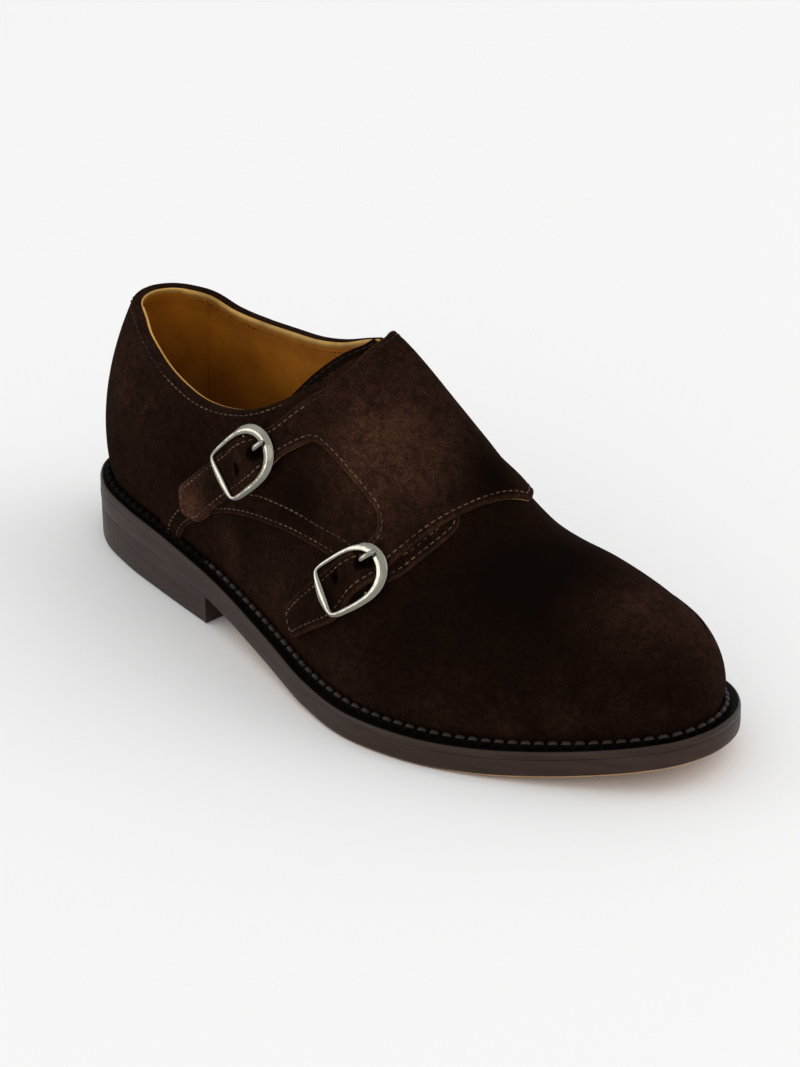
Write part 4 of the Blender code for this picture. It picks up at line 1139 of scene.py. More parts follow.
# ---- sole, heel, welt and sock ----
@dataclass
class Sole(Assembly):
    """Leather outsole under the welt, and the heel's stacked block under its seat."""

    breast: float = 97.0
    # distance inside the outline and height of each ring, up to the outsole's thickness
    profile: Pairs = (
        (1.5, 0.0), (1.0, 0.12), (0.55, 0.75), (0.3, 0.95), (0.12, 1.9), (0.0, 3.6), (0.05, 5.4),
        (0.12, 6.9), (0.22, 7.28), (0.5, 7.4))
    bare_bands: int = 3  # bands of the bevel in bare leather
    # distance inside the outline, share of the heel's height and height over that
    heel_profile: Triples = (
        (1.5, 0.0, 0.0), (0.9, 0.0, 0.25), (0.55, 0.0, 1.0), (0.4, 0.5, 0.0), (0.3, 1.0, -0.3),
        (0.5, 1.0, 0.0))

    def build(self) -> None:
        """Build the outsole and the heel."""
        self.build_outsole()
        self.build_heel()

    def build_outsole(self) -> None:
        """Outsole: an edge that swells a little, over a narrow bevel in bare leather."""
        loop = self.last.sole_loop
        rings = [self.last.plate_ring(loop, np.where(loop[:, 0] > self.breast, inwards,
                                                     min(inwards, 0.4)), height)
                 for inwards, height in self.profile]
        bare = np.array(rings)[:-1, :, 0] >= self.breast
        bare[self.bare_bands:] = False
        Draft(self.last).stack(rings, bare.astype(int), bottom=1).build(
            "outsole_leather", [self.finishes.sole_edge, self.finishes.underside],
            "edge_leather", ["outsole"], sharp=60.0)

    def heel_loop(self) -> Array:
        """Outline of the heel, open at its straight breast."""
        loop, half = self.last.sole_loop, self.last.stations
        lateral, medial = (part[part[:, 0] < self.breast - 1.0]
                           for part in (loop[:half], loop[half:]))
        ends = [(self.breast, np.interp(self.breast, *part.T))
                for part in (loop[:half], loop[:half:-1])]
        return np.vstack([lateral, ends, medial])

    def build_heel(self) -> None:
        """Heel: side walls, a straight breast, a narrow bevel below and a level tread."""
        loop = self.heel_loop()
        front = loop[:, 0] >= self.breast
        top = self.last.underside(loop[:, 0]) - 0.02
        rings = []
        for inwards, share, rise in self.heel_profile:
            moved = inset(loop, inwards)
            moved[front, 0] = self.breast - inwards
            moved[front, 1] = loop[front, 1] - np.sign(loop[front, 1]) * inwards
            rings.append(np.column_stack([moved, share * top + rise]))
        Draft(self.last).stack(rings, rows=5).build(
            "heel_block", [self.finishes.sole_edge], "edge_leather", ["heel"], sharp=35.0)


@dataclass
class Welt(Assembly):
    """Storm welt: a flat ledge with an upright rim that is pinched into beads all round."""

    pitch: float = 4.8
    rim_height: float = 2.5
    rim_width: float = 2.1
    rim_stand_off: float = 0.5  # inner face of the rim, outside the upper's lower edge
    painted_light_from: float = 92.0  # station from which the beads' tops take the lighter finish: rubbed, with painted highlight
    pinch: float = 2.1  # depth of the grooves between beads
    # distance inside the sole's outline and height over the outsole of the ledge's upright edge
    side: Pairs = (
        (0.5, 0.0), (0.2, 0.1), (0.1, 0.4), (0.1, 1.7), (0.25, 2.3), (0.42, 2.5), (0.4, 2.66),
        (0.62, 2.88), (1.0, 3.0))
    # the same inside the upper's lower edge, for the rest of the ledge
    ground: Pairs = ((-3.3, 2.85), (-2.1, 2.7), (2.2, 2.7), (2.2, 0.0))
    # place round one bead from groove to groove, and how deep the groove is there
    bead: Pairs = (
        (0.0, 1.0), (0.06, 0.92), (0.12, 0.62), (0.18, 0.3), (0.27, 0.08), (0.42, 0.0),
        (0.58, 0.0), (0.73, 0.08), (0.82, 0.3), (0.88, 0.62), (0.94, 0.92))
    # shares of the rim's width, of its height and of the grooves' depth round its section
    section: Triples = (
        (0.0, -0.4, 0.0), (0.0, 0.55, 0.25), (0.06, 0.82, 0.5), (0.22, 0.97, 0.85),
        (0.48, 1.0, 1.0), (0.74, 0.9, 0.95), (0.92, 0.68, 0.8), (1.0, 0.4, 0.6),
        (1.02, 0.12, 0.45), (1.0, -0.15, 0.0))

    def build(self) -> None:
        """Build the ledge and the beaded rim."""
        last = self.last
        rings = [last.plate_ring(loop, inwards, last.outsole + rise)
                 for loop, profile in ((last.sole_loop, self.side),
                                       (last.feather_loop, self.ground))
                 for inwards, rise in profile]
        count = len(rings[0])
        # The ledge's top takes the near-black finish, ink with painted shade; only its outer edge
        # takes the sole edge's finish.
        inner = np.repeat(np.arange(len(rings)) >= len(self.side) - 1, count).astype(int)
        Draft(last).add(rings, grid_faces(len(rings), count, True, True), inner).build(
            "welt_ledge", [self.finishes.sole_edge, self.finishes.welt_ground],
            "edge_leather", ["welt"], sharp=60.0)
        self.build_rim()

    def build_rim(self) -> None:
        """Rim of the welt, with a groove pinched in at every pitch."""
        last = self.last
        closed = np.vstack([last.feather_loop, last.feather_loop[:1]])
        total = lengths(closed)[-1]
        beads = int(round(total / self.pitch))
        spots, depth = np.array(self.bead).T
        line = resample(closed, ((np.arange(beads)[:, None] + spots) / beads * total).ravel())
        pinched = np.tile(depth, beads)
        out = -leftward(line, reach=3)
        base = last.underside(line[:, 0]) + last.outsole + last.welt
        rings = []
        for across, rise, share in self.section:
            sunk = self.pinch * share * pinched
            away = self.rim_stand_off + self.rim_width * across - 0.9 * sunk * (across - 0.35)
            height = base + self.rim_height * rise - sunk * max(rise, 0.0) ** 2
            rings.append(np.column_stack([line + out * away[:, None], height]))
        # Bead tops forward of the set station take the lighter finish, rubbed with painted
        # highlight; grooves, sides and the beads further back take the near-black finish, ink with
        # painted shade.
        rises = np.array(self.section)[:, 1]
        high = np.minimum(rises, np.roll(rises, -1)) > 0.6
        bare = np.maximum(pinched, np.roll(pinched, -1)) < 0.7
        bare &= line[:, 0] > self.painted_light_from
        Draft(last).add(*tube(rings, True), 1 - (high[:, None] & bare).ravel()).build(
            "welt_beaded_rim", [self.finishes.welt, self.finishes.welt_ground],
            "edge_leather", sharp=80.0)


@dataclass
class Insole(Assembly):
    """Insole board under a tan sock, which rises a little towards its edge."""

    # distance inside the upper's lower edge and height over the outsole of each ring
    profile: Pairs = (
        (2.7, 0.2), (2.6, 4.4), (2.75, 5.15), (3.4, 5.3), (7.0, 5.0), (10.0, 4.85))

    def build(self) -> None:
        """Build the sock over its board."""
        last = self.last
        Draft(last).stack([last.plate_ring(last.feather_loop, inwards, last.outsole + rise)
                           for inwards, rise in self.profile]).build(
            "insole_sock", [self.finishes.sock], "tan_lining", ["insole"], sharp=60.0)


# ---- upper ----
class Trough(NamedTuple):
    """Soft crease: it runs from one flat place to another and sinks (or lifts) the leather."""

    along: float
    girth: float
    end_along: float
    end_girth: float
    width: float
    depth: float


UPPER_TROUGHS = tuple(Trough(*row) for row in (
    (204, -34, 200, -78, 7.0, 0.5),  # flex line behind the ball, outer side
    (213, -50, 207, -84, 6.0, -0.35),
    (206, 20, 198, 62, 7.0, 0.45),  # the same on the inner side
    (214, 34, 206, 72, 6.0, -0.3),
    (100, -60, 92, -86, 9.0, 0.5),  # hollow behind the upper buckle
    (108, -52, 78, -66, 6.0, -0.3), (86, 50, 96, 90, 10.0, 0.4)))

FLAP_TROUGHS = tuple(Trough(*row) for row in (
    (188, -6, 184, 22, 3.2, 0.35),  # where the flap bends over the instep's front
    (196, -12, 190, 26, 3.4, -0.28), (160, -8, 178, -36, 6.0, -0.35),
    (152, -14, 166, -38, 4.5, 0.3), (150, 22, 168, 40, 7.0, 0.35)))


def creases(points: Array, troughs: Sequence[Trough], sheet: Sheet | None = None) -> Array:
    """Height that creases add at flat points, or at points in space where a sheet is given."""
    out = np.zeros(len(points))
    for item in troughs:
        line = np.array([item[:2], item[2:4]], float)
        line = line if sheet is None else sheet.at(line)[0]
        out -= item.depth * np.exp(-(distance_to(points, line, closed=False) / item.width) ** 2)
    return out


@dataclass
class Upper(Assembly):
    """Vamp and quarters in suede over a tan lining, drawn over the last as one skin."""

    suede: float = 1.45
    wall: float = 2.4
    padded_suede: float = 3.3  # suede and padding at the collar's edge
    padded_wall: float = 4.1
    bare_edge: Pair = (2.2, 0.75)  # bare leather inside the edge, inner and outer
    padding_depth: float = 13.0  # how far under the edge the padding reaches
    padding_end: float = 130.0  # station at which it has died away
    throat_ease: float = 14.0  # length over which the collar's edge turns into the throat's
    rows: int = 56
    edge_shares: tuple[float, ...] = (0.965, 0.974, 0.982, 0.988, 0.993, 0.997, 1.0)
    collar_row: float = 2.4  # stitches under the collar's edge
    collar_row_end: float = 126.0  # station at which these stitches end
    lining_row: float = 4.0
    lining_row_end: float = 131.0
    grip_seam: float = 21.0  # station where the heel's lining ends under the quarters'
    grip_lap: float = 0.6
    seam_radius: float = 0.8  # folded edge of the lap, half sunk in the lining
    seam_ends: Pair = (6.0, 1.5)  # over the upper's lower edge, under the collar
    dark_thread_to: float = 56.0  # behind this station the collar's stitches take the darker thread
    foot_dip: float = 0.5  # how far the suede is drawn in over the welt
    foot_reach: float = 4.0  # height over which this dies away
    pole: Pair = (262.0, 14.5)  # where the sections of the toe run together
    softened_within: float = 40.0  # distance from there within which the toe is evened
    softened_reach: float = 12.0  # how far round a point its height is evened
    softened_fade: float = 26.0  # length over which this dies away
    softened_share: float = 0.75  # how far a height moves to the mean round it

    def tops(self, ribs: Ribs) -> Array:
        """Angle at which the upper ends on each section: collar, throat edge or crest."""
        last = self.last
        x = ribs.base[:, 0]
        lateral = np.arange(len(x)) <= last.stations
        collar = ribs.angle_at_height(by_side(last.topline_rows, x, lateral))
        along = np.clip((x - last.throat_start) / (last.throat_front - last.throat_start), 0.0, 1.0)
        edge = ribs.angle_at_distance(last.throat_half_width * np.sqrt(1.0 - along))
        ease = smoothstep((x - last.throat_start) / self.throat_ease)
        angle = np.where(x <= last.throat_start, collar, collar + (edge - collar) * ease)
        return np.where(x >= last.throat_front, 0.5 * math.pi, angle)

    def build(self) -> None:
        """Build the suede, its lining and the rows along the collar."""
        ribs = Ribs.round_loop(self.last)
        tops = self.tops(ribs)
        share = [*np.linspace(0.0, self.edge_shares[0], self.rows), *self.edge_shares[1:]]
        grid = ribs.points(tops[:, None] * np.array(share))
        points, _, faces = weld(grid.reshape(-1, 3), grid_faces(*grid.shape[:2], True, False))
        points, normals, faces = self.soften_toe(points, faces)
        closed = self.last.feather_loop[:, 0] >= self.last.throat_front
        edge = self.edge_distance(points, grid[~closed, -1])
        relief = self.relief(points)
        padding = self.padding(points[:, 0], edge)
        depth = self.suede + (self.padded_suede - self.suede) * padding
        both, *skins = shell(points, normals, faces, relief - edge_drop(edge, 0.7 + 0.7 * padding),
                             relief - depth + edge_drop(edge, 0.3))
        Draft(self.last).add(both, sum(skins, [])).build(
            "upper_suede", [self.finishes.suede], "brown_suede", ["upper"], sharp=70.0)
        self.build_lining(points, normals, faces, edge, relief)
        self.sew(ribs, tops)

    def soften_toe(self, points: Array, faces: Faces) -> tuple[Array, Array, Faces]:
        """Even out the crest where the sections of the toe run together.

        Args:
            points: The skin's points.
            faces: The skin's faces.

        Returns:
            The evened points, the directions square to them, and the faces.
        """
        tree = BVHTree.FromPolygons(points.tolist(), faces)
        away = np.linalg.norm(points[:, :2] - self.pole, axis=1)
        around = np.array([(radius * math.cos(turn), radius * math.sin(turn), 0.0)
                           for radius in (0.35, 0.7, 1.0) for turn in turns(10)])
        reach = self.softened_reach * smoothstep((self.softened_within - away) / self.softened_fade)
        evened = points.copy()
        for k in np.flatnonzero((away < self.softened_within) & (points[:, 2] > 45.0)):
            starts = (*points[k, :2], 200.0) + reach[k] * around
            hits = [tree.ray_cast(Vector(start), Vector((0.0, 0.0, -1.0)))[0] for start in starts]
            heights = [hit.z for hit in hits if hit is not None]
            if heights:
                evened[k, 2] += self.softened_share * (float(np.mean(heights)) - points[k, 2])
        return weld(evened, faces)

    def padding(self, x: Values, edge: Values) -> Values:
        """Share of the collar's padding at a station and a distance from the edge."""
        fade = 1.0 - smoothstep((x - self.padding_end + 20.0) / 20.0)
        return smoothstep(1.0 - edge / self.padding_depth) * fade

    @staticmethod
    def edge_distance(points: Array, edge: Array) -> Array:
        """Distance from each of the higher points to the open top edge's points."""
        out = np.full(len(points), 99.0)
        for part in np.array_split(np.flatnonzero(points[:, 2] > 60.0), 30):
            out[part] = np.linalg.norm(points[part, None] - edge, axis=2).min(axis=1)
        return out

    def relief(self, points: Array) -> Array:
        """Soft hollows and swellings of the leather over the last."""
        low = points[:, 2] - self.last.underside(points[:, 0]) - self.last.feather_height
        return (creases(points, UPPER_TROUGHS, self.sheet)
                - self.foot_dip * np.exp(-(low / self.foot_reach) ** 2))

    def build_lining(self, points: Array, normals: Array, faces: Faces, edge: Array,
                     relief: Array) -> None:
        """Lining under the suede, with its cut edge showing along the collar."""
        padding = self.padding(points[:, 0], edge)
        high = relief - self.suede - (self.padded_suede - self.suede) * padding - 0.02
        lap = self.grip_lap * smoothstep(points[:, 0] - self.grip_seam)
        low = (relief - self.wall - (self.padded_wall - self.wall) * padding
               - lap + edge_drop(edge, 0.5 + 0.5 * lap))
        both, skin, wall, back = shell(points, normals, faces, high, low)
        cut = edge < np.where(points[:, 1] > 0.0, *self.bare_edge)
        bare = [int(all(cut[v - len(points)] for v in face)) for face in back]
        Draft(self.last).add(both, skin + wall + back,
                             [0] * len(skin) + [1] * len(wall) + bare).build(
            "upper_lining", [self.finishes.lining, self.finishes.cut_edge], "tan_lining",
            sharp=70.0)

    def rim_path(self, ribs: Ribs, tops: Array, down: float, front: float) -> tuple[Array, Array]:
        """Path round the collar at a distance under its edge.

        Args:
            ribs: Sections round the last.
            tops: Angle of the top edge on each.
            down: Distance under the edge.
            front: Station at which the path ends on both sides.

        Returns:
            The path, from the medial side round the heel to the lateral side, and its normals.
        """
        turn = 0.01
        under = ribs.points(tops[:, None] - (0.0, turn))
        step = np.linalg.norm(under[:, 0] - under[:, 1], axis=1) / turn
        lines = ribs.points((tops - down / step)[:, None] + (0.0, turn))
        here = lines[:, 0]
        around = np.roll(here, -1, axis=0) - np.roll(here, 1, axis=0)
        normal = unit(np.cross(around, lines[:, 1] - here))
        half = self.last.stations
        order = np.concatenate([np.arange(half + 1, len(here)), np.arange(half)])
        order = order[ribs.base[order, 0] <= front]
        return here[order], normal[order]

    def sew(self, ribs: Ribs, tops: Array) -> None:
        """Rows of stitches under the collar, outside and on the lining."""
        path, normal = self.rim_path(ribs, tops, self.collar_row, self.collar_row_end)
        self.stitching.row(Draft(self.last), path, normal, path[:, 0] <= self.dark_thread_to).build(
            "collar_stitching", [self.finishes.thread, self.finishes.dark_thread],
            "brown_suede")
        path, normal = self.rim_path(ribs, tops, self.lining_row, self.lining_row_end)
        path = path - normal * (self.grip_lap + self.wall_at(path[:, 0], self.lining_row))[:, None]
        ahead = path[:, 0] > self.grip_seam + 2.0
        inner, seams = Draft(self.last), Draft(self.last)
        for chosen in (ahead & (path[:, 1] > 0.0), ahead & (path[:, 1] <= 0.0)):
            self.stitching.row(inner, path[chosen], -normal[chosen])
        inner.build("lining_stitching", [self.finishes.lining_thread], "tan_lining")
        for side in Side:
            seams.add(*rod(self.seam_path(side), self.seam_radius, 10))
        seams.build("lining_seams", [self.finishes.lining], "tan_lining")

    def wall_at(self, x: Values, edge: Values) -> Values:
        """Thickness of the whole wall at a station and a distance from the edge."""
        return self.wall + (self.padded_wall - self.wall) * self.padding(x, edge)

    def seam_path(self, side: Side) -> Array:
        """Line on the lining where one side's quarter lining laps over the heel's."""
        stations = self.grip_seam + np.array([0.0, 1.0])
        ribs = Ribs.on_side(self.last, stations, side)
        top = column(self.last.topline_rows, "x", side.name.lower(), stations[0])
        low, high = (float(ribs.angle_at_height(z)[0]) for z in (
            ribs.base[0, 2] + self.seam_ends[0], top - self.seam_ends[1]))
        lines = ribs.points(np.tile(np.linspace(low, high, 60), (2, 1)))
        normal = unit(np.cross(lines[1] - lines[0], np.gradient(lines[0], axis=0))) * -side.value
        depth = self.wall_at(stations[0], top - lines[0][:, 2])
        return lines[0] - normal * (depth + 0.4 * self.seam_radius)[:, None]


@dataclass
class Quarter(Assembly):
    """Front of the outer quarter, lapped over the vamp, with its two rows of stitches."""

    sunk: float = 0.6  # underside, below the last's surface
    sunk_end: float = 0.35  # outer side below it where the lap has died away
    sewn_from: float = -119.0  # girth from which the rows are sewn
    thread_sunk: float = 0.22  # stitches, below the leather's surface
    thickness: float = 1.45
    pressed: float = 1.0  # its thickness under the flap
    raw_edge: float = 0.3  # how much lighter the suede is painted along the cut edge: cut fibres and painted highlight
    fade: float = 20.0  # distance from the edge at which the lap has died away
    flat_share: float = 0.35  # share of that over which it keeps its thickness
    row_inset: float = 1.8
    rounding: float = 0.4  # radius of the cut edge
    channel: float = 0.8  # width of the channel that a row of stitches pulls
    channel_depths: Pair = (0.25, 0.22)  # of the first and the second row
    edge_points: Pairs = (
        (71.5, -128.0), (73.2, -120.0), (75.2, -114.4), (79.6, -109.4), (85.8, -105.2),
        (94.3, -99.9), (111.9, -93.1), (132.5, -87.0), (152.1, -79.5), (170.1, -70.7),
        (182.5, -66.0), (191.5, -59.5), (197.2, -50.5), (200.1, -39.5), (201.5, -30.3),
        (201.7, -23.1), (200.1, -19.7), (196.5, -17.0), (188.0, -14.0), (176.0, -12.0))
    second_row: Pairs = (
        (66.0, -118.0), (69.2, -111.0), (75.2, -104.2), (85.0, -97.5), (100.0, -89.5),
        (122.6, -81.1), (139.9, -76.0), (156.6, -69.9), (170.5, -62.8), (181.0, -58.0),
        (189.5, -52.0), (195.0, -43.0), (197.0, -33.0), (197.3, -26.0), (195.0, -22.0))
    back_points: Pairs = (
        (150.0, -30.0), (130.0, -48.0), (96.0, -70.0), (61.0, -88.0), (61.0, -128.0))
    covered: Pairs = ((176.0, -8.0), (120.0, -30.0), (61.0, -60.0), (61.0, -128.0))
    step_width: float = 5.0  # over which the flap steps down from it

    def build(self) -> None:
        """Build the lapped leather and its stitches."""
        edge = even(spline(self.edge_points, 10, closed=False), 1.0)
        back = even(np.vstack([edge[-1:], self.back_points, edge[:1]]), 2.0)[1:-1]
        panel = Panel(np.vstack([edge, back]), 1.9)
        away = distance_to(panel.flat, edge, closed=False)
        second = distance_to(panel.flat, np.array(self.second_row), closed=False)
        fall = smoothstep((away / self.fade - self.flat_share) / (1.0 - self.flat_share))
        top = (self.thickness - edge_drop(away, self.rounding)) * (1.0 - fall)
        top -= (self.sunk_end * fall
                + groove(away, self.row_inset, self.channel, self.channel_depths[0])
                + groove(second, 0.0, self.channel, self.channel_depths[1]))
        # The suede is painted lighter along the cut edge: cut fibres, with painted highlight.
        raw_and_painted_light = self.raw_edge * np.exp(-(away / 0.6) ** 2)
        panel.bend(self.sheet, top, np.full(len(away), -self.sunk), nap=raw_and_painted_light).build(
            "outer_quarter_lap", [self.finishes.suede], "brown_suede", sharp=75.0)
        stitches = Draft(self.last)
        for path in (inset(edge, self.row_inset, closed=False),
                     spline(self.second_row, 8, closed=False)):
            path = even(path, 0.8)
            path = path[path[:, 1] > self.sewn_from]
            self.stitching.row(stitches, *self.sheet.at(path, self.thickness - self.thread_sunk))
        stitches.build("quarter_stitching", [self.finishes.thread], "brown_suede")

    def rise_at(self, flat: Array) -> Array:
        """Height of the lapped leather under the flap at flat points."""
        edge = even(spline(self.edge_points, 10, closed=False), 1.5)
        ring = np.vstack([edge, self.covered])
        away = distance_to(flat, edge, closed=False)
        signed = np.where(inside(flat, ring), away, -away)
        return self.pressed * smoothstep(signed / self.step_width + 0.5)


# ---- buckles ----
class StrapRow(NamedTuple):
    """Underside of a strap over the last, by the distance from the bar towards the instep."""

    offset: float
    height: float


STRAP_ROWS = tuple(StrapRow(*row) for row in (
    (-24, 0.45), (-18, 1.15), (-13.5, 1.3), (-9, 2.0), (-3.5, 4.05), (0, 4.2), (2.5, 3.7),
    (6, 1.2), (9, 0.5), (13, 0.45)))


@dataclass
class Buckle(Assembly):
    """Polished frame with a centre bar, a prong, and the leather tab that holds the bar."""

    number: int
    along: float
    girth: float
    tip_along: float
    tip_girth: float
    turn: float
    pitch: float = 0.0  # degrees by which the bow is pressed down
    roll: float = 0.0
    height: float = 4.7  # middle of the frame over the last
    bar_height: float = 2.1
    bar_radius: float = 0.7
    prong: float = 0.0  # place of the prong across the frame
    half_strap: float = 9.0
    pinch: float = 2.2  # how far the bow narrows the strap's raised part
    hole: float = 4.3  # hole in use, from the bar towards the bow
    spare_hole: float = -7.4
    outer: Pairs = (
        (-16.9, 0.0), (-16.6, 3.6), (-15.9, 6.9), (-14.6, 9.3), (-12.0, 10.7), (-6.5, 11.4),
        (-1.0, 11.6), (4.0, 11.1), (8.0, 9.6), (11.0, 7.0), (12.8, 3.7), (13.4, 0.0))
    inner: Pairs = (
        (-13.3, 0.0), (-13.3, 3.6), (-13.3, 6.8), (-13.0, 8.3), (-11.8, 8.8), (-7.0, 9.1),
        (-2.5, 9.1), (1.8, 8.5), (5.3, 7.0), (7.7, 4.7), (8.9, 2.2), (9.2, 0.0))
    # share of the way from the outer to the inner outline, and height over the frame's middle
    section: Pairs = (
        (0.0, -0.7), (0.0, -0.4), (0.05, -0.1), (0.2, 0.34), (0.35, 0.82), (0.41, 0.98),
        (0.47, 1.03), (0.66, 1.02), (0.86, 0.98), (0.94, 0.86), (0.985, 0.5), (1.0, -0.1),
        (0.97, -0.6), (0.8, -0.95), (0.25, -0.95), (0.05, -0.85))
    strap_top: float = 4.2  # underside of the strap where it passes over the bar
    strap_bow: float = 0.35  # how much lower its two edges are there
    strap_reach: float = 34.0  # distance within which the buckle lifts the strap
    half_bar: float = 10.3
    eye_wire: float = 0.42
    # distance along the prong from the bar, and its radius there; the last three from its end
    prong_radii: Pairs = (
        (0.0, 0.75), (3.5, 0.8), (5.5, 1.15), (8.5, 1.12), (-1.6, 1.05), (-0.6, 0.85), (0.0, 0.4))
    tab_half: float = 6.0
    tab_gap: float = 1.6  # from the prong to the tab beside it
    tab_low: float = 0.45  # underside of the tab's tail over the last
    origin: Array = field(init=False)
    normal: Array = field(init=False)
    forward: Array = field(init=False)
    across: Array = field(init=False)
    lean: Array = field(init=False)

    def __post_init__(self) -> None:
        """Find the buckle's place and directions on the last."""
        spots, normals = self.sheet.at(np.array([[self.along, self.girth],
                                                 [self.tip_along, self.tip_girth]]))
        self.origin, self.normal = spots[0], normals[0]
        along = spots[0] - spots[1]
        along = unit(along - self.normal * (along @ self.normal))
        angle, pitch, roll = (math.radians(a) for a in (self.turn, self.pitch, self.roll))
        self.forward = along * math.cos(angle) + np.cross(self.normal, along) * math.sin(angle)
        self.across = np.cross(self.normal, self.forward)
        ahead = self.forward * math.cos(pitch) - self.normal * math.sin(pitch)
        up = self.normal * math.cos(pitch) + self.forward * math.sin(pitch)
        self.lean = np.array([ahead, self.across * math.cos(roll) + up * math.sin(roll),
                              up * math.cos(roll) - self.across * math.sin(roll)])

    def held(self, along: Values, across: Values, height: Values) -> Array:
        """Points in the frame's own directions, which lean a little about its bar."""
        parts = np.broadcast_arrays(along, across, np.asarray(height, float) - self.bar_height)
        return (self.origin + self.normal * self.bar_height
                + np.stack(parts, axis=-1).astype(float) @ self.lean)

    def flat_spot(self, along: float, across: float) -> Array:
        """Station and girth of a place on the strap beside the centre bar."""
        centre = np.array([self.along, self.girth], float)
        for _ in range(4):
            near = self.sheet.at(np.array([centre, centre + (1.0, 0.0), centre + (0.0, 1.0)]))[0]
            steps = near[1:] - near[0]
            matrix = np.array([steps @ self.forward, steps @ self.across])
            reached = near[0] - self.origin
            missing = (along - reached @ self.forward, across - reached @ self.across)
            centre = centre + np.linalg.solve(matrix, missing)
        return centre

    def strap_height(self, points: Array) -> Array:
        """How far the strap's underside clears the last at points near the centre bar."""
        offset = points - self.origin
        ahead, side = offset @ self.forward, offset @ self.across
        height = column(STRAP_ROWS, "offset", "height", ahead)
        over = np.clip(height / self.strap_top, 0.0, 1.0)
        height += over * (math.sin(math.radians(self.roll)) * side
                          - self.strap_bow * (side / self.half_strap) ** 2)
        pinch = self.pinch * smoothstep(0.5 * (ahead - 1.0))
        beside = smoothstep(np.abs(side) - self.half_strap + pinch)
        near = np.linalg.norm(offset, axis=1) < self.strap_reach
        return np.where(near, height + (self.tab_low - height) * beside, 0.0)

    def hole_loop(self, offset: float, diameter: float) -> Array:
        """Round hole in the strap, in flat coordinates."""
        radius = 0.5 * diameter
        return np.array([self.flat_spot(offset + radius * math.cos(a),
                                        self.prong + radius * math.sin(a)) for a in turns(18)])

    def build(self) -> None:
        """Build the frame, the prong and the tab."""
        self.build_frame()
        self.build_prong()
        self.build_tab()

    def enter(self, part: str, draft: Draft) -> None:
        """Make the steel frame or prong."""
        draft.build(f"buckle_{self.number}_{part}", [self.finishes.steel], "polished_steel",
                    [f"buckle_{part}_{self.number}"], sharp=80.0)

    def build_frame(self) -> None:
        """Domed frame with rounded edges, and the centre bar slung under it."""
        outer, inner = (spline([*half, *((a, -c) for a, c in half[-2:0:-1])], 9, closed=True)
                        for half in (self.outer, self.inner))
        rings = [self.held(*(outer + (inner - outer) * share).T, self.height + rise)
                 for share, rise in self.section]
        half, low, high = self.half_bar, self.bar_height, self.height
        side = [(0, -half, high), (0, -half + 0.15, 0.5 * (low + high)), (0, -half + 1.0, low)]
        path = spline([*side, (0, 0, low), *((a, -c, h) for a, c, h in side[::-1])], 6, False)
        self.enter("frame", Draft(self.last).add(*tube(rings, True)).add(
            *rod(self.held(*path.T), self.bar_radius, 12)))

    def build_prong(self) -> None:
        """Prong: an eye round the bar and a pin that tapers to a blunt end on the bow."""
        around, side, rest = turns(20), self.prong, self.height + 1.85
        rings = []
        for t in turns(8):
            reach = self.bar_radius + 0.6 + self.eye_wire * math.cos(t)
            rings.append(self.held(reach * np.cos(around), side + 0.85 * math.sin(t),
                                   self.bar_height + reach * np.sin(around)))
        path = spline([(1.5, side, self.bar_height + 0.3), (self.hole - 0.9, side, 3.4),
                       (self.hole + 0.1, side, 5.2), (self.hole + 1.3, side, 6.35),
                       (7.6, side, rest + 0.25), (9.7, side, rest + 0.15),
                       (11.9, side, rest - 0.1)], 6, closed=False)
        run = lengths(path)
        places, radii = np.array(self.prong_radii).T
        places[-3:] += run[-1]
        self.enter("prong", Draft(self.last).add(*tube(rings, True)).add(
            *rod(self.held(*path.T), np.interp(run, places, radii), 14)))

    def build_tab(self) -> None:
        """Leather tab folded round the bar on each side of the prong, its tail under the strap."""
        low, middle = self.tab_low, self.bar_height
        under, over = middle - self.bar_radius - 0.25, middle + self.bar_radius + 0.25
        outline = spline([(-15, low), (-7, low), (0.6, under - 0.5), (1.65, under + 0.2),
                          (1.75, middle), (1.55, over), (0.7, over + 0.55),
                          (-1.6, over + 0.45), (-7, low + 1.0), (-15, low + 0.7)], 3, True)
        draft = Draft(self.last)
        tilt = math.sin(math.radians(self.roll))
        for start, end in ((-self.tab_half, self.prong - self.tab_gap),
                           (self.prong + self.tab_gap, self.tab_half)):
            rings = []
            for side in np.linspace(start, end, 5):
                flat = np.array([self.flat_spot(a, side) for a in outline[:, 0]])
                lift = tilt * side * np.clip(outline[:, 1] / middle, 0.0, 1.0)
                rings.append(self.sheet.at(flat, outline[:, 1] + lift)[0])
            draft.add(*tube(rings, False))
        draft.build(f"buckle_{self.number}_tab", [self.finishes.suede], "brown_suede",
                    [f"buckle_tab_{self.number}"], sharp=60.0)


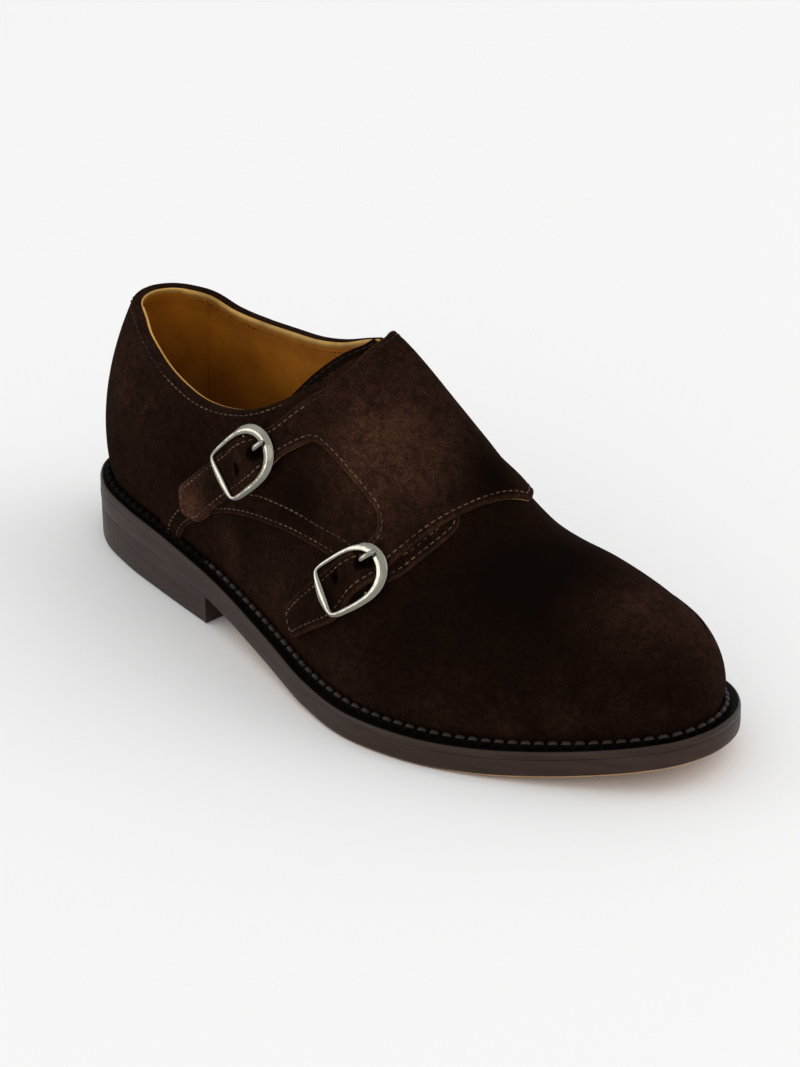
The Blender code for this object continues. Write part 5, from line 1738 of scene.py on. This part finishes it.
# ---- flap and tongue ----
@dataclass
class StrapFlap(Assembly):
    """Flap over the instep, cut in one with its two straps: suede over a tan lining."""

    quarter: Quarter
    buckles: Sequence[Buckle]
    lining: float = 0.55
    suede: float = 1.65
    row_inset: float = 2.0
    raw_edge: float = 0.3  # how much lighter the suede is painted along the cut edge: cut fibres and painted highlight
    hole_shade: float = 0.8  # painted shade: how much darker the suede is painted in and round the holes
    hole_size: float = 3.2  # diameter of the hole in use
    spare_size: float = 2.3
    thread_sunk: float = 0.24  # stitches, below the leather's surface
    rest: float = 0.08  # underside over the piece below
    rounding: float = 0.8  # radius of the cut edge
    channel: float = 0.85  # width of the channel that the row of stitches pulls
    channel_depth: float = 0.28
    dark_thread_to: float = 152.0  # the stitches take the darker thread up to this station
    dark_thread_girths: Pair = (-41.0, 26.0)  # and between these girths
    suede_edge_from: float = 148.0  # the lower strap's lining edge takes the suede's finish, from this station on
    suede_edge_outside: float = -46.0  # and beyond this girth
    corners: tuple[Corner, ...] = tuple(Corner(*row) for row in (
        (131, 31, 3),  # inner side, where the flap leaves the collar
        (145.2, -2, 5),  # rear edge over the instep
        (143.5, -25, 30), (125, -53.5, 40),
        (78.4, -92.6, 3.2),  # tip of the upper strap
        (79.5, -102.7, 3.2), (89.8, -104.4, 4), (125.2, -73.8, 6), (132, -61.5, 8),
        (144.5, -47.5, 10),  # cut-out between the straps
        (183.5, -43.3, 5), (180.7, -57, 8), (168.3, -79.3, 40),
        (149.5, -108.3, 5),  # tip of the lower strap
        (155, -116.5, 5), (180.5, -85, 35), (190, -62, 12), (195, -42, 30),
        (199, -20, 40),  # front edge
        (203, 13, 6),
        (173, 57, 4),  # inner side
        (141, 82, 4)))

    def build(self) -> None:
        """Build the lining, the suede and the stitches round the edge."""
        outline = rounded(self.corners, 1.1)
        holes = [buckle.hole_loop(*hole) for buckle in self.buckles
                 for hole in ((buckle.hole, self.hole_size), (buckle.spare_hole, self.spare_size))]
        panel = Panel(outline, 1.7, holes)
        joint = self.base_height(panel.flat) + self.lining
        away = distance_to(panel.flat, outline)
        top = (joint + self.suede - edge_drop(panel.edge, self.rounding)
               - groove(away, self.row_inset, self.channel, self.channel_depth))
        pierced = np.min([distance_to(panel.flat, hole) for hole in holes], axis=0)
        # The suede is painted lighter along the cut edge (cut fibres, with painted highlight) and
        # darker in and round the holes (painted shade).
        raw_and_painted_light = self.raw_edge * np.exp(-(away / 0.7) ** 2)
        raw_and_painted_light -= self.hole_shade * np.exp(-(pierced / 0.5) ** 2)
        panel.bend(self.sheet, top, joint, nap=raw_and_painted_light).build(
            "flap_suede", [self.finishes.suede], "brown_suede", ["strap_flap"], sharp=75.0)
        self.build_lining(Panel(inset(outline, 0.1), 3.2, holes, rings=(0.6,)))
        self.sew(outline)

    def build_lining(self, panel: Panel) -> None:
        """Lining under the suede, whose cut edge is bare or, on the lower strap, takes the suede's
        finish.
        """
        base = self.base_height(panel.flat)
        draft = panel.bend(self.sheet, base + self.lining - 0.01, base, (0, 2, 0))
        bare = distance_to(panel.flat, panel.outline) < 0.3
        bare &= (panel.flat[:, 0] < self.suede_edge_from) | (panel.flat[:, 1] > self.suede_edge_outside)
        draft.finishes = [1 if number == 2 and bare[face[0] % len(bare)] else number
                          for face, number in zip(draft.faces, draft.finishes)]
        draft.build("flap_lining", [self.finishes.lining, self.finishes.cut_edge,
                                    self.finishes.suede], "tan_lining", sharp=60.0)

    def base_height(self, flat: Array) -> Array:
        """Height of the flap's underside over the last, with the flap's creases."""
        points, _ = self.sheet.at(flat)
        heights = [buckle.strap_height(points) for buckle in self.buckles]
        return (np.max([self.rest + self.quarter.rise_at(flat), *heights], axis=0)
                + creases(flat, FLAP_TROUGHS))

    def sew(self, outline: Array) -> None:
        """Sew the row inside the whole outline."""
        row = inset(outline, self.row_inset)
        row = row[distance_to(row, outline) > 0.93 * self.row_inset]
        row = even(np.vstack([row, row[:1]]), 0.8)
        height = self.base_height(row) + self.lining + self.suede - self.thread_sunk
        low, high = self.dark_thread_girths
        rear = (row[:, 0] < self.dark_thread_to) & (row[:, 1] > low) & (row[:, 1] < high)
        self.stitching.row(Draft(self.last), *self.sheet.at(row, height), rear).build(
            "flap_stitching", [self.finishes.thread, self.finishes.dark_thread], "brown_suede")


@dataclass
class Tongue(Assembly):
    """Tongue under the throat, whose stitched rear edge shows inside the collar."""

    row_insets: Pair = (1.8, 4.4)
    rounding: float = 0.7  # radius of the cut edge
    channel: float = 0.7  # width of the channel that a row of stitches pulls
    channel_depth: float = 0.2
    depth: float = 3.4  # outer face under the last's surface
    sag: float = 1.6  # how much deeper it lies under the crest
    sag_reach: float = 22.0
    sewn_to: float = 146.0  # station to which the rows are sewn
    thread_sunk: float = 0.12  # stitches, below the leather's surface
    thickness: float = 2.2
    corners: tuple[Corner, ...] = tuple(Corner(*row) for row in (
        (122, 46, 6), (140, 7, 14), (140, -7, 14), (118, -54, 6), (196, -30, 8), (206, 0, 14),
        (196, 30, 8)))

    def build(self) -> None:
        """Build the tongue in suede over its lining, and its two rows of stitches."""
        outline = rounded(self.corners, 1.2)
        panel = Panel(outline, 2.4)
        depth = self.depth_at(panel.flat)
        top = -depth - edge_drop(panel.edge, self.rounding)
        stitches = Draft(self.last)
        for amount in self.row_insets:
            top -= groove(panel.edge, amount, self.channel, self.channel_depth)
            row = inset(outline, amount)
            row = row[(row[:, 0] < self.sewn_to) & (distance_to(row, outline) > 0.9 * amount)]
            row = even(row[np.argsort(row[:, 1])], 0.8)
            self.stitching.row(stitches, *self.sheet.at(
                row, -self.depth_at(row) - self.thread_sunk))
        # The tongue takes the darker suede and the darker thread: painted shade inside the throat.
        panel.bend(self.sheet, top, -depth - self.thickness, (0, 0, 1)).build(
            "tongue_leather", [self.finishes.shaded_suede, self.finishes.lining], "brown_suede",
            ["tongue"], sharp=70.0)
        stitches.build("tongue_stitching", [self.finishes.dark_thread], "brown_suede")

    def depth_at(self, flat: Array) -> Array:
        """Depth of the outer face at flat points."""
        return self.depth + self.sag * np.exp(-(flat[:, 1] / self.sag_reach) ** 2)


# ---- studio ----
@dataclass
class Studio:
    """Pale seamless floor, soft lights and the camera."""

    eye: Triple = (1.117614, -1.025156, 0.839882)
    target: Triple = (0.004, 0.003, 0.046)
    lens: float = 158.0
    floor_half: float = 6.0
    ambient: float = 0.88  # mean brightness of the surroundings
    slope: float = 0.14  # how much brighter they are on their bright side
    bright_side: Triple = (0.3, 0.35, 0.89)
    lamp_colour: Triple = (1.0, 0.995, 0.985)
    lamps: tuple[tuple[str, Triple, float, float], ...] = (
        ("key", (-1.5, -0.9, 1.8), 2.4, 4.0), ("fill", (1.2, -1.9, 1.3), 1.8, 5.0),
        ("back", (1.3, 1.5, 1.7), 2.2, 11.0), ("card", (-0.8, -1.39, 0.5), 0.95, 7.5))

    def build(self) -> None:
        """Set up the floor, the lights and the camera."""
        self.build_floor()
        self.build_lights()
        self.build_camera()

    def build_floor(self) -> None:
        """Floor that stands still under the shoe."""
        mesh = bpy.data.meshes.new("floor")
        size = self.floor_half
        mesh.from_pydata([(-size, -size, 0), (size, -size, 0), (size, size, 0), (-size, size, 0)],
                         [], [(0, 1, 2, 3)])
        mesh.materials.append(Paper().material())
        floor = bpy.data.objects.new("floor", mesh)
        bpy.context.scene.collection.objects.link(floor)

    def build_lights(self) -> None:
        """White surroundings and broad soft lamps."""
        scene = bpy.context.scene
        scene.view_settings.view_transform = "Standard"
        scene.world = bpy.data.worlds.new("studio")
        scene.world.use_nodes = True
        tree = scene.world.node_tree
        lean = add_node(tree, "VectorMath", {0: (add_node(tree, "TexCoord"), "Generated"),
                                             1: self.bright_side}, operation="DOT_PRODUCT")
        level = add_node(tree, "Math", {0: (lean, "Value"), 1: self.slope, 2: self.ambient},
                         operation="MULTIPLY_ADD")
        background = tree.nodes["Background"]
        background.inputs["Color"].default_value = (1.0, 1.0, 1.0, 1.0)
        tree.links.new(level.outputs[0], background.inputs["Strength"])
        for name, spot, size, power in self.lamps:
            lamp = bpy.data.lights.new(name, "AREA")
            lamp.shape, lamp.size, lamp.energy, lamp.color = "DISK", size, power, self.lamp_colour
            holder = bpy.data.objects.new(name, lamp)
            holder.location = spot
            holder.rotation_euler = (-Vector(spot)).to_track_quat("-Z", "Y").to_euler()
            holder.visible_diffuse = name != "card"
            scene.collection.objects.link(holder)

    def build_camera(self) -> None:
        """Camera at the eye, aimed at the middle of the shoe."""
        data = bpy.data.cameras.new("camera")
        data.lens, data.sensor_width = self.lens, 36.0
        camera = bpy.data.objects.new("camera", data)
        camera.location = self.eye
        direction = Vector(self.target) - Vector(self.eye)
        camera.rotation_euler = direction.to_track_quat("-Z", "Y").to_euler()
        bpy.context.scene.collection.objects.link(camera)
        bpy.context.scene.camera = camera


def main() -> None:
    """Build every piece of the shoe, then the studio."""
    logging.basicConfig(level=logging.INFO, format="%(name)s %(message)s")
    kit = (Sheet(Last()), Finishes(), Stitching())
    for assembly in (Sole, Welt, Insole, Upper):
        assembly(*kit).build()
    quarter = Quarter(*kit)
    quarter.build()
    Tongue(*kit).build()
    buckles = [Buckle(*kit, 1, 119.2, -68.1, 84.0, -98.0, 10.4, 6.0, 5.0, 5.9),
               Buckle(*kit, 2, 184.3, -63.9, 160.0, -110.0, -2.9, prong=3.4)]
    StrapFlap(*kit, quarter, buckles).build()
    for buckle in buckles:
        buckle.build()
    Studio().build()


if __name__ == "__main__":
    main()
